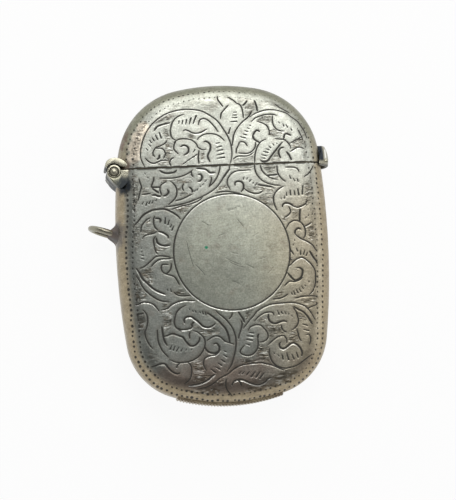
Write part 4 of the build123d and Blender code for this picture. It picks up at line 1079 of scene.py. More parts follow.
def barrel_room(sizes, hinge, is_lid):
    """Stepped round space that the barrel takes out of a shell."""
    middle = sizes.thickness / 2
    wide = hinge.knuckle_radius + hinge.clearance
    if is_lid:
        half = hinge.lid_knuckle_half
        steps = [(wide, -1.0), (wide, middle - half), (hinge.knuckle_radius, middle - half),
                 (hinge.knuckle_radius, middle + half), (wide, middle + half),
                 (wide, sizes.thickness + 1.0)]
    else:
        half = hinge.lid_knuckle_half + hinge.end_gap
        end = hinge.barrel_half
        steps = [(hinge.knuckle_radius, middle - end), (hinge.knuckle_radius, middle - half),
                 (wide, middle - half), (wide, middle + half), (hinge.knuckle_radius, middle + half),
                 (hinge.knuckle_radius, middle + end)]
    profile = [(0.0, steps[0][1])] + steps + [(0.0, steps[-1][1])]
    return lathe_mesh("barrel_room", profile, hinge.pin_x, hinge.pin_y, 48)


class Shader:
    """Small helper that adds and links shader nodes."""

    def __init__(self, name):
        self.material = bpy.data.materials.new(name)
        self.material.use_nodes = True
        self.tree = self.material.node_tree
        self.surface = self.tree.nodes["Principled BSDF"]

    def node(self, kind, **inputs):
        node = self.tree.nodes.new(kind)
        for name, value in inputs.items():
            self.put(node, name.replace("_", " "), value)
        return node

    def put(self, node, name, value):
        socket = node.inputs[name]
        if isinstance(value, bpy.types.NodeSocket):
            self.tree.links.new(value, socket)
        elif isinstance(value, (tuple, list)) and len(value) == 3 and socket.type == "RGBA":
            socket.default_value = (*value, 1.0)
        else:
            socket.default_value = value

    def place(self):
        return self.node("ShaderNodeTexCoord").outputs["Object"]

    def noise(self, scale, detail=4.0, roughness=0.55, stretch=None, turn=0.0):
        """Noise on the piece in cycles per metre, optionally stretched and turned."""
        where = self.place()
        if stretch:
            mapping = self.node("ShaderNodeMapping", Scale=stretch, Rotation=(0.0, 0.0, turn))
            self.put(mapping, "Vector", where)
            where = mapping.outputs["Vector"]
        texture = self.node("ShaderNodeTexNoise", Scale=scale, Detail=detail, Roughness=roughness)
        self.put(texture, "Vector", where)
        return texture.outputs["Fac"]

    def chips(self, scale, stretch, turn):
        """Tone and height of small facets, like metal cut by a punch."""
        mapping = self.node("ShaderNodeMapping", Scale=stretch, Rotation=(0.0, 0.0, turn))
        self.put(mapping, "Vector", self.place())
        texture = self.node("ShaderNodeTexVoronoi", Scale=scale)
        self.put(texture, "Vector", mapping.outputs["Vector"])
        split = self.node("ShaderNodeSeparateColor")
        self.put(split, "Color", texture.outputs["Color"])
        return split.outputs["Red"], texture.outputs["Distance"]

    def ramp(self, value, low, high, start=0.0, end=1.0):
        """Maps a value from one range to another, held at the ends."""
        node = self.tree.nodes.new("ShaderNodeMapRange")
        node.interpolation_type = "SMOOTHSTEP"
        for name, number in (("From Min", low), ("From Max", high), ("To Min", start), ("To Max", end)):
            node.inputs[name].default_value = number
        self.tree.links.new(value, node.inputs["Value"])
        return node.outputs["Result"]

    def blend(self, factor, a, b):
        """Value between two values."""
        apart = self.math("SUBTRACT", b, a)
        return self.math("ADD", a, self.math("MULTIPLY", apart, factor))

    def math(self, operation, a, b):
        node = self.tree.nodes.new("ShaderNodeMath")
        node.operation = operation
        for socket, value in zip(node.inputs, (a, b)):
            if isinstance(value, bpy.types.NodeSocket):
                self.tree.links.new(value, socket)
            else:
                socket.default_value = value
        return node.outputs["Value"]

    def mix(self, factor, a, b, blend="MIX"):
        node = self.tree.nodes.new("ShaderNodeMix")
        node.data_type = "RGBA"
        node.blend_type = blend
        for index, value in ((0, factor), (6, a), (7, b)):
            socket = node.inputs[index]
            if isinstance(value, bpy.types.NodeSocket):
                self.tree.links.new(value, socket)
            elif index == 0:
                socket.default_value = value
            else:
                socket.default_value = (*value, 1.0)
        return node.outputs[2]

    def attribute(self, name):
        node = self.tree.nodes.new("ShaderNodeAttribute")
        node.attribute_type = "GEOMETRY"
        node.attribute_name = name
        return node.outputs["Fac"]

    def axis(self, name):
        split = self.node("ShaderNodeSeparateXYZ")
        self.put(split, "Vector", self.place())
        return split.outputs[name]

    def near(self, place, reach, spread):
        """1 at a place in millimetres, falling to 0 at the reach, with a ragged edge."""
        apart = self.tree.nodes.new("ShaderNodeVectorMath")
        apart.operation = "DISTANCE"
        self.tree.links.new(self.place(), apart.inputs[0])
        apart.inputs[1].default_value = [part * MM for part in place]
        ragged = self.math("MULTIPLY", self.math("SUBTRACT", self.noise(1500.0), 0.5), spread * MM * 2)
        apart = self.math("ADD", apart.outputs["Value"], ragged)
        return self.ramp(apart, reach * MM, 0.45 * reach * MM)

    def around(self, x, y, radius, width):
        """1 on an upright ring in millimetres, falling to 0 over its width."""
        flat = self.node("ShaderNodeVectorMath")
        flat.operation = "MULTIPLY"
        self.tree.links.new(self.place(), flat.inputs[0])
        flat.inputs[1].default_value = (1.0, 1.0, 0.0)
        apart = self.tree.nodes.new("ShaderNodeVectorMath")
        apart.operation = "DISTANCE"
        self.tree.links.new(flat.outputs["Vector"], apart.inputs[0])
        apart.inputs[1].default_value = (x * MM, y * MM, 0.0)
        off = self.math("ABSOLUTE", self.math("SUBTRACT", apart.outputs["Value"], radius * MM), 0.0)
        return self.ramp(off, width * MM, 0.3 * width * MM)

    def bump(self, height, strength, distance):
        node = self.node("ShaderNodeBump", Strength=strength, Distance=distance, Height=height)
        self.put(self.surface, "Normal", node.outputs["Normal"])

    def finish(self, colour, metallic, roughness):
        self.put(self.surface, "Base Color", colour)
        self.put(self.surface, "Metallic", metallic)
        self.put(self.surface, "Roughness", roughness)
        return self.material


def fine_scratches(shader):
    """Height of hair scratches that run several ways."""
    one = shader.noise(900.0, 2.0, 0.6, (1.0, 14.0, 1.0), 0.35)
    two = shader.noise(800.0, 2.0, 0.6, (12.0, 1.0, 1.0), -0.5)
    grain = shader.noise(6500.0, 2.0, 0.5)
    return shader.math("ADD", shader.math("ADD", one, two), shader.math("MULTIPLY", grain, 0.8))


def tarnish(shader, finish):
    """Silver with slow stains, tan and olive on the sides; the grey towards the lower left and the darker tone at the
    base are partly tarnish and partly painted shade, and whitish warm spots on the lid's left shoulder are a painted
    highlight.
    """
    patches = shader.noise(95.0, 5.0, 0.6)
    mottle = shader.noise(620.0, 5.0, 0.65)
    height = shader.axis("Z")
    along = shader.axis("Y")
    across = shader.axis("X")
    # Grey towards the lower left: partly tarnish, partly painted shade.
    tarnish_and_shade_slope = shader.math("ADD", along, shader.math("MULTIPLY", across, 0.8))
    uneven = shader.math("MULTIPLY", shader.math("SUBTRACT", patches, 0.5), 0.026)
    tarnish_and_shade_slope = shader.math("ADD", tarnish_and_shade_slope, uneven)
    colour = shader.mix(shader.ramp(tarnish_and_shade_slope, 0.029, -0.016), tuple(finish.silver), tuple(finish.cool_tarnish_and_shade))
    right = shader.math("MULTIPLY", shader.ramp(across, 0.002, 0.014, 0.0, 0.7),
                        shader.ramp(along, 0.014, 0.002))
    colour = shader.mix(right, colour, tuple(part * 1.2 for part in finish.warm))
    # Darker towards the base: partly tarnish, partly painted shade.
    base = shader.ramp(shader.math("ADD", along, uneven), -0.015, -0.0225, 0.0, 0.75)
    colour = shader.mix(base, colour, tuple(finish.brown_tarnish_and_shade))
    colour = shader.mix(shader.ramp(along, 0.0195, 0.0235, 0.0, 0.35), colour, tuple(finish.olive))
    side = shader.math("MULTIPLY", shader.ramp(height, 0.0093, 0.0085), shader.ramp(height, 0.0002, 0.0010))
    edge = shader.mix(shader.ramp(along, 0.010, 0.019), tuple(finish.warm), tuple(finish.olive))
    colour = shader.mix(shader.math("MULTIPLY", side, 0.9), colour, edge)
    colour = shader.mix(shader.ramp(mottle, 0.52, 0.74, 0.0, 0.32), colour, tuple(finish.brown_tarnish_and_shade))
    left = shader.math("MULTIPLY", shader.ramp(across, -0.0132, -0.0142),
                       shader.math("MULTIPLY", shader.ramp(along, 0.0075, 0.0105), shader.ramp(along, 0.021, 0.017)))
    streaks = shader.ramp(shader.noise(420.0, 4.0, 0.65, (2.2, 1.0, 1.0)), 0.42, 0.58, 0.0, 0.85)
    colour = shader.mix(shader.math("MULTIPLY", left, streaks), colour, tuple(finish.brown_tarnish_and_shade))
    root = shader.near((-16.2, 1.9, 7.0), 2.9, 1.0)
    colour = shader.mix(shader.math("MULTIPLY", root, 0.8), colour, tuple(finish.solder))
    # Painted highlight: whitish warm spots along the lid's left shoulder.
    for place in ((-13.2, 13.6, 9.0), (-13.0, 15.0, 9.0), (-12.5, 16.5, 9.1), (-11.6, 18.0, 9.2)):
        shoulder_glint = shader.math("MULTIPLY", shader.near(place, 1.35, 0.5), 0.9)
        colour = shader.mix(shoulder_glint, colour, tuple(finish.painted_shoulder_highlight))
    colour = shader.mix(shader.near((1.1, -2.5, 9.5), 12.5, 1.0), colour, (1.02, 1.02, 0.95), "MULTIPLY")
    grain = shader.ramp(shader.noise(3600.0, 4.0, 0.65), 0.3, 0.7, 0.82, 1.14)
    cloud = shader.ramp(shader.noise(1100.0, 4.0, 0.6), 0.3, 0.7, 0.90, 1.10)
    colour = shader.mix(1.0, colour, grain, "MULTIPLY")
    return shader.mix(1.0, colour, cloud, "MULTIPLY")


def hinge_patina_and_shade(shader, colour, finish):
    """Blue-black patina under the hinge, partly a painted shade where the bearer shades the case."""
    spot = shader.near((-14.9, 9.35, 8.5), 1.95, 0.8)
    return shader.mix(shader.math("MULTIPLY", spot, 0.93), colour, tuple(finish.patina))


def engraved_silver():
    """Worn silver with dark oxide in the engraving, painted shade towards the lower left, the base and under the
    hinge, and painted highlights on the lit walls of the cuts and on the lid's left shoulder.
    """
    known = bpy.data.materials.get("engraved_silver_with_painted_light")
    if known:
        return known
    finish = bpy.context.scene.vesta_finish
    shader = Shader("engraved_silver_with_painted_light")
    colour = tarnish(shader, finish)
    cut = shader.attribute("cut")
    ground = shader.attribute("ground")
    roll = shader.attribute("roll")
    patchy = shader.noise(1100.0, 3.0, 0.6)
    tone, facets = shader.chips(1900.0, (1.0, 2.6, 1.0), 0.75)
    light = shader.math("MULTIPLY", shader.ramp(tone, 0.55, 0.95), 0.65)
    chipped = shader.mix(light, tuple(finish.chased), colour)
    field = shader.ramp(shader.noise(160.0, 1.0, 0.5), 0.47, 0.53)
    strokes = shader.blend(field, shader.noise(560.0, 3.0, 0.6, (1.0, 4.5, 1.0), 0.6),
                           shader.noise(560.0, 3.0, 0.6, (1.0, 4.5, 1.0), -0.5))
    chipped = shader.mix(shader.ramp(strokes, 0.51, 0.43, 0.0, 0.8), chipped, tuple(finish.oxide))
    bright = shader.mix(0.35, colour, tuple(finish.rubbed))
    chipped = shader.mix(shader.ramp(strokes, 0.54, 0.60, 0.0, 0.9), chipped, bright)
    colour = shader.mix(shader.math("MULTIPLY", ground, shader.ramp(patchy, 0.38, 0.58, 0.62, 1.0)),
                        colour, chipped)
    colour = shader.mix(shader.ramp(roll, 0.35, 1.0, 0.0, 0.25), colour, tuple(finish.chased))
    specks = shader.noise(3200.0, 4.0, 0.65)
    colour = shader.mix(shader.ramp(specks, 0.60, 0.76, 0.0, 0.5), colour, tuple(finish.chased))
    hairs = shader.noise(420.0, 3.0, 0.7, (1.0, 24.0, 1.0), 0.5)
    colour = shader.mix(shader.ramp(hairs, 0.60, 0.72, 0.0, 0.28), colour, tuple(finish.rubbed))
    colour = hinge_patina_and_shade(shader, colour, finish)
    # Painted highlight, partly rubbed wear: bright metal on the lit walls of the cuts, on the ground's crests and
    # below the seam.
    colour = shader.mix(shader.ramp(shader.attribute("rubbed_and_highlight"), 0.12, 0.7), colour, tuple(finish.rubbed))
    colour = shader.mix(shader.near((-2.8, -0.75, 9.5), 0.32, 0.1), colour, tuple(finish.verdigris))
    colour = shader.mix(shader.ramp(cut, 0.25, 0.75, 0.0, 0.94), colour, tuple(finish.oxide))
    metallic = shader.ramp(cut, 0.3, 0.8, 1.0, 0.3)
    grain = shader.ramp(shader.noise(700.0, 4.0, 0.6), 0.3, 0.7, -0.07, 0.10)
    rough = shader.math("ADD", shader.ramp(cut, 0.3, 0.8, finish.roughness, 0.62), grain)
    facets = shader.math("ADD", facets, shader.math("MULTIPLY", strokes, 0.6))
    relief = shader.math("MULTIPLY", shader.math("MULTIPLY", facets, ground), 5.0)
    shader.bump(shader.math("ADD", fine_scratches(shader), relief), 0.35, 0.00003)
    return shader.finish(colour, metallic, rough)


def plain_silver(name, colour, roughness, stain=0.4, bump=0.25, painted_hinge_shade=None, seat=None, flecks=0.2):
    """Silver of a fitting with stains and small dents; painted shade in its depth, under the barrel and beside the
    wall, blue-black patina by the hinge that is partly painted shade, and a painted highlight on the thumbpiece's
    rim.
    """
    known = bpy.data.materials.get(name)
    if known:
        return known
    finish = bpy.context.scene.vesta_finish
    shader = Shader(name)
    patches = shader.ramp(shader.noise(520.0, 5.0, 0.6), 0.40, 0.68, 0.0, stain)
    tone = shader.mix(patches, colour, tuple(finish.brown_tarnish_and_shade))
    dark = shader.ramp(shader.noise(2600.0, 4.0, 0.7), 0.60, 0.80, 0.0, flecks)
    tone = shader.mix(dark, tone, tuple(finish.oxide))
    # Blue-black patina by the hinge, partly painted shade under the bearer.
    patina_and_shade = shader.math("MULTIPLY", shader.near((-14.9, 9.35, 8.5), 1.95, 0.8), 0.93)
    if painted_hinge_shade:
        # Painted shade on the hinge: olive under the barrel, darkening away from its front end, varied by noise, and
        # a dark ring round the pin head, partly oxide in the dish and partly painted shadow.
        low, high, amount = painted_hinge_shade
        below = shader.ramp(shader.axis("Y"), 0.0111, 0.0101, 0.0, 0.75)
        tone = shader.mix(below, tone, tuple(finish.olive))
        deep = shader.ramp(shader.axis("Z"), high * MM, low * MM, 0.0, amount)
        shade_variation = shader.ramp(shader.noise(330.0, 4.0, 0.6), 0.40, 0.60, 0.62, 1.0)
        patina_and_shade = shader.math("MAXIMUM", patina_and_shade, shader.math("MULTIPLY", deep, shade_variation))
        hinge = bpy.context.scene.vesta_hinge
        ring = shader.around(hinge.pin_x, hinge.pin_y, hinge.dish_radius - 0.06, 0.14)
        tone = shader.mix(shader.math("MULTIPLY", ring, 0.85), tone, tuple(finish.oxide))
    if seat:
        inner, outer, sill = seat
        across = shader.axis("X")
        along = shader.axis("Y")
        tone = shader.mix(shader.ramp(across, (outer + 0.2) * MM, (outer + 0.7) * MM, 0.0, 0.8), tone,
                          tuple(finish.olive))
        # Painted shade: blue-black near the case wall above the sill, and below the sill.
        shade = shader.math("MULTIPLY", shader.ramp(across, outer * MM, inner * MM),
                            shader.ramp(along, sill * MM, (sill + 0.5) * MM))
        base = shader.ramp(along, (sill + 0.1) * MM, (sill - 0.5) * MM, 0.0, 0.7)
        patina_and_shade = shader.math("MAXIMUM", patina_and_shade, shader.math("MAXIMUM", shade, base))
    tone = shader.mix(patina_and_shade, tone, tuple(finish.patina))
    if seat:
        # Painted highlight: a narrow band of bright metal on the rim.
        band = shader.math("MULTIPLY", shader.ramp(across, outer * MM, (outer + 0.08) * MM),
                           shader.ramp(across, (outer + 0.42) * MM, (outer + 0.25) * MM))
        ends = shader.math("MULTIPLY", shader.ramp(along, (sill + 0.5) * MM, (sill + 0.9) * MM),
                           shader.ramp(along, (sill + 2.3) * MM, (sill + 1.9) * MM))
        tone = shader.mix(shader.math("MULTIPLY", band, ends), tone, tuple(finish.rubbed))
    rough = shader.ramp(shader.noise(900.0, 4.0, 0.6), 0.3, 0.7, roughness - 0.07, roughness + 0.10)
    rough = shader.math("ADD", rough, shader.math("MULTIPLY", patina_and_shade, 0.3))
    shader.bump(fine_scratches(shader), bump, 0.00004)
    shader.surface.inputs["Specular IOR Level"].default_value = 0.3
    return shader.finish(tone, shader.ramp(patina_and_shade, 0.2, 0.9, 1.0, 0.1), rough)


def prism_mesh(name, outline, z0, z1, bevel):
    """Straight-sided shape along Z with rounded edges, from a plan outline in millimetres."""
    work = bmesh.new()
    low = [work.verts.new((x * MM, y * MM, z0 * MM)) for x, y in outline]
    high = [work.verts.new((x * MM, y * MM, z1 * MM)) for x, y in outline]
    count = len(outline)
    ends = [work.faces.new(low[::-1]), work.faces.new(high)]
    for i in range(count):
        j = (i + 1) % count
        work.faces.new((low[i], low[j], high[j], high[i]))
    bmesh.ops.recalc_face_normals(work, faces=work.faces)
    edges = {edge for face in ends for edge in face.edges}
    bmesh.ops.bevel(
        work, geom=list(edges), offset=bevel * MM, offset_type="OFFSET", segments=4,
        profile=0.5, affect="EDGES", clamp_overlap=True,
    )
    bmesh.ops.recalc_face_normals(work, faces=work.faces)
    mesh = bpy.data.meshes.new(name)
    work.to_mesh(mesh)
    work.free()
    return mesh


def case_core_mesh(sizes, offset):
    """Coarse solid of the whole case, drawn in by the offset, to cut fittings with."""
    arcs = outline_arcs(sizes)
    limit = sizes.shoulder * math.pi / 2 + sizes.thickness / 2 - sizes.shoulder
    right = []
    for cx, cy, radius, low, high in arcs:
        for turn in np.linspace(min(high, math.pi / 2), max(low, -math.pi / 2), 24, endpoint=False):
            right.append((cx, cy, radius, turn))
    right.append((*arcs[-1][:3], -math.pi / 2))
    rows = []
    for run in np.linspace(limit, 0.0, 16):
        half = [(cx + (radius - sizes.shoulder + run) * math.cos(turn),
                 cy + (radius - sizes.shoulder + run) * math.sin(turn)) for cx, cy, radius, turn in right]
        ring = np.array(half + [(-x, y) for x, y in half[-2:0:-1]])
        points, _ = wrap(arcs, sizes, ring[:, 0], ring[:, 1], offset)
        rows.append(points)
    count = len(rows[0])
    points = np.concatenate(rows)
    back = points * (1, 1, -1) + (0, 0, sizes.thickness)
    faces = []
    for shift in (0, len(points)):
        for row in range(len(rows) - 1):
            for i in range(count):
                j = (i + 1) % count
                a = shift + row * count
                faces.append((a + i, a + j, a + count + j, a + count + i))
        faces.append([shift + (len(rows) - 1) * count + i for i in range(count)])
    mesh = bpy.data.meshes.new("case_core")
    mesh.from_pydata(np.concatenate([points, back]) * MM, [], faces)
    work = bmesh.new()
    work.from_mesh(mesh)
    bmesh.ops.remove_doubles(work, verts=work.verts, dist=1e-6)
    bmesh.ops.recalc_face_normals(work, faces=work.faces)
    work.to_mesh(mesh)
    work.free()
    return mesh


def place_piece(piece, node, body, material, sharp=40.0):
    """Finishes a piece that stands for a node of the frame."""
    piece.data.shade_smooth()
    piece.data.set_sharp_from_angle(angle=math.radians(sharp))
    piece.data.materials.clear()
    piece.data.materials.append(material)
    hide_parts(node)
    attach(piece, body)
    return piece


def knuckle_profile(hinge, z_near, z_far, bore, dished):
    """Section of a knuckle: outer wall, softened end and the sunk seat of the pin head."""
    way = 1.0 if z_far > z_near else -1.0
    outer = hinge.knuckle_radius
    soft = 0.07
    profile = [(bore, z_near), (outer - 0.03, z_near), (outer, z_near + way * 0.03),
               (outer, z_far - way * soft), (outer - 0.02, z_far - way * 0.03), (outer - soft, z_far)]
    if dished:
        rim = hinge.dish_radius
        floor = z_far - way * hinge.dish_depth
        profile += [(rim + 0.05, z_far), (rim, z_far - way * 0.04), (rim - 0.05, floor), (bore, floor)]
    else:
        profile += [(bore, z_far)]
    return profile


def pin_profile(hinge, sizes):
    """Section of the hinge pin with its two domed heads."""
    middle = sizes.thickness / 2
    seat = hinge.barrel_half - hinge.dish_depth
    half = [(hinge.pin_radius, 0.0), (hinge.pin_radius, seat), (hinge.head_radius, seat)]
    for i in range(1, 7):
        turn = i / 6 * math.pi / 2
        half.append((hinge.head_radius * math.cos(turn), seat + 0.04 + (hinge.head_height - 0.04) * math.sin(turn)))
    half[-1] = (0.0, half[-1][1])
    upper = [(r, middle + z) for r, z in half]
    lower = [(r, middle - z) for r, z in half[1:][::-1]]
    return lower + upper


def sector(inner, outer_at, start, inner_start, end, pin, count=44):
    """Plan outline of a strap round the pin, slanted at its start, with its outer radius by angle."""
    outline = []
    for first, last, radius_at in ((start, end, outer_at), (end, inner_start, lambda turn: inner)):
        for i in range(count + 1):
            turn = math.radians(first + (last - first) * i / count)
            reach = radius_at(turn)
            outline.append((pin[0] + reach * math.cos(turn), pin[1] + reach * math.sin(turn)))
    return outline


def tube_mesh(name, path, radii, sides=24):
    """Closed round tube along a path of points in millimetres."""
    path = np.array(path, float)
    runs = np.gradient(path, axis=0)
    runs /= np.linalg.norm(runs, axis=1)[:, None]
    across = np.cross(runs, np.cross(runs[0], runs[len(runs) // 2]) + (0, 0, 1e-6))
    across /= np.linalg.norm(across, axis=1)[:, None]
    other = np.cross(runs, across)
    turns = np.arange(sides) * 2 * math.pi / sides
    rows = [
        p + r * (np.cos(turns)[:, None] * a + np.sin(turns)[:, None] * o)
        for p, r, a, o in zip(path, radii, across, other)
    ]
    points = np.concatenate(rows)
    faces = []
    for row in range(len(path) - 1):
        for i in range(sides):
            j = (i + 1) % sides
            a = row * sides
            faces.append((a + i, a + j, a + sides + j, a + sides + i))
    faces.append(list(range(sides))[::-1])
    faces.append([(len(path) - 1) * sides + i for i in range(sides)])
    mesh = bpy.data.meshes.new(name)
    mesh.from_pydata(points * MM, [], faces)
    outward(mesh)
    return mesh


LOOP_ROOT_Y = 2.05
LOOP_MEAN_RADIUS = 2.35
LOOP_WIRE_RADIUS = 0.45
LOOP_PROTRUSION = 4.5
LOOP_TILT = 19.0


def loop_mesh(sizes):
    """Suspension ring, a little thinner where it has worn at its outer end."""
    tilt = math.radians(LOOP_TILT)
    wall_x = -(sizes.width / 2 - LOOP_ROOT_Y**2 / (2 * sizes.side_radius))
    reach = LOOP_PROTRUSION - LOOP_MEAN_RADIUS - LOOP_WIRE_RADIUS
    out = np.array([-math.cos(tilt), math.sin(tilt), 0.0])
    up = np.array([0.0, 0.0, 1.0])
    centre = np.array([wall_x, LOOP_ROOT_Y, sizes.thickness / 2]) + out * reach
    turns = np.linspace(-math.radians(142), math.radians(142), 97)
    path = [centre + LOOP_MEAN_RADIUS * (math.cos(t) * out + math.sin(t) * up) for t in turns]
    radii = [LOOP_WIRE_RADIUS * (1.0 - 0.10 * math.exp(-((t / 0.8) ** 2))) for t in turns]
    return tube_mesh("suspension_loop", path, radii)


def solder_mesh(sizes):
    """Mound of solder over both feet of the loop, spread thin on the wall."""
    arcs = outline_arcs(sizes)
    limit = sizes.shoulder * math.pi / 2 + sizes.thickness / 2 - sizes.shoulder
    along = np.linspace(-2.35, 2.35, 53)
    over = np.linspace(-3.3, 3.3, 65)
    a, b = np.meshgrid(along, over, indexing="ij")
    run = limit - np.abs(b)
    turn = np.arcsin((LOOP_ROOT_Y + a) / sizes.side_radius)
    side_x = sizes.width / 2 - sizes.side_radius
    reach = sizes.side_radius - sizes.shoulder + run
    points, normals = wrap(arcs, sizes, -(side_x + reach * np.cos(turn)), reach * np.sin(turn))
    back = b < 0
    points[..., 2] = np.where(back, sizes.thickness - points[..., 2], points[..., 2])
    normals[..., 2] = np.where(back, -normals[..., 2], normals[..., 2])
    away = np.hypot(a - 0.15, np.abs(b) - 1.6)
    flare = 1.25 * np.exp(-((away / 0.95) ** 2.4)) + 0.18 * np.exp(-((away / 1.8) ** 4))
    bridge = 0.5 * np.exp(-((b / 1.9) ** 4) - (a / 1.0) ** 2)
    lumps = 0.04 * np.sin(a * 5.1 + b * 2.3) * np.sin(b * 3.7)
    border = np.minimum(1 - np.abs(a) / 2.35, 1 - np.abs(b) / 3.3)
    height = (np.maximum(flare, bridge) + lumps) * np.clip(border * 6, 0, 1) - 0.14
    outer = points + normals * height[..., None]
    inner = points - normals * 0.16
    rows, columns = a.shape
    number = np.arange(rows * columns).reshape(rows, columns)
    quads = np.stack([number[:-1, :-1], number[1:, :-1], number[1:, 1:], number[:-1, 1:]], -1).reshape(-1, 4)
    border_at = border_loop(quads)
    faces = quads.tolist() + (quads[:, ::-1] + rows * columns).tolist()
    for i, start in enumerate(border_at):
        end = border_at[(i + 1) % len(border_at)]
        faces.append((end, start, start + rows * columns, end + rows * columns))
    mesh = bpy.data.meshes.new("loop_solder")
    mesh.from_pydata(np.concatenate([outer.reshape(-1, 3), inner.reshape(-1, 3)]) * MM, [], faces)
    outward(mesh)
    return mesh


THUMB_DISC_RADIUS = 3.4
THUMB_BASE_DROP = 0.45
THUMB_BULGE = 1.45
THUMB_DOME_RADIUS = 4.6
THUMB_DOME_RISE = 1.1
THUMB_THICKNESS = 0.45
THUMB_STAND_OFF = 0.15


def wall_at(arcs, sizes, y, z):
    """How far out the right-hand wall of the case stands at a height along it and a depth."""
    far = np.zeros(y.shape)
    for cx, cy, radius, low, high in arcs:
        rise = np.clip((y - cy) / radius, -1.0, 1.0)
        turn = np.arcsin(rise)
        edge = cx + radius * np.cos(turn)
        far = np.where((turn >= low) & (turn <= high), edge, far)
    past = np.clip(np.abs(z - sizes.thickness / 2) - (sizes.thickness / 2 - sizes.shoulder), 0.0, None)
    return far - sizes.shoulder + np.sqrt(sizes.shoulder**2 - past**2)


def thumbpiece_mesh(sizes):
    """Half-round plate domed outwards, with a rounded rim that stands just off the case."""
    wall_x = sizes.width / 2 - sizes.seam_y**2 / (2 * sizes.side_radius)
    bottom = sizes.seam_y - THUMB_BASE_DROP
    middle = sizes.thickness / 2
    edge = [0.0, 0.012, 0.04, 0.08, 0.13, 0.18, 0.24]
    spans = [THUMB_DISC_RADIUS - e for e in edge] + list(np.linspace(THUMB_DISC_RADIUS - 0.5, 0.0, 20))
    small = [0.0, 0.006, 0.02, 0.045, 0.08, 0.13]
    turns = small + list(np.linspace(0.22, math.pi - 0.22, 44)) + [math.pi - t for t in small[::-1]]
    rho, turn = np.meshgrid(spans, turns, indexing="ij")
    y = bottom + rho * np.sin(turn)
    z = middle + rho * np.cos(turn)
    off = np.hypot(y - bottom - THUMB_DOME_RISE, z - middle)
    dome_x = wall_x + THUMB_BULGE - THUMB_DOME_RADIUS
    outside = dome_x + np.sqrt(THUMB_DOME_RADIUS**2 - off**2)
    inside = dome_x + np.sqrt((THUMB_DOME_RADIUS - THUMB_THICKNESS) ** 2 - off**2)
    inside = np.maximum(inside, wall_at(outline_arcs(sizes), sizes, y, z) + THUMB_STAND_OFF)
    outside = np.maximum(outside, inside + THUMB_THICKNESS * 0.8)
    half = (outside - inside) / 2
    round_off = np.clip(np.minimum(THUMB_DISC_RADIUS - rho, y - bottom) / 0.22, 0.0, 1.0)
    thick = half * np.sqrt(1 - (1 - round_off) ** 2)
    centre = (outside + inside) / 2
    outer = np.stack([centre + thick, y, z], -1).reshape(-1, 3)
    inner = np.stack([centre - thick, y, z], -1).reshape(-1, 3)
    rows, columns = rho.shape
    number = np.arange(rows * columns).reshape(rows, columns)
    quads = np.stack([number[:-1, :-1], number[1:, :-1], number[1:, 1:], number[:-1, 1:]], -1).reshape(-1, 4)
    faces = quads.tolist() + (quads[:, ::-1] + rows * columns).tolist()
    work = bmesh.new()
    verts = [work.verts.new(p * MM) for p in np.concatenate([outer, inner])]
    for face in faces:
        work.faces.new([verts[i] for i in face])
    bmesh.ops.remove_doubles(work, verts=work.verts, dist=2e-7)
    bmesh.ops.recalc_face_normals(work, faces=work.faces)
    mesh = bpy.data.meshes.new("thumbpiece")
    work.to_mesh(mesh)
    work.free()
    return mesh


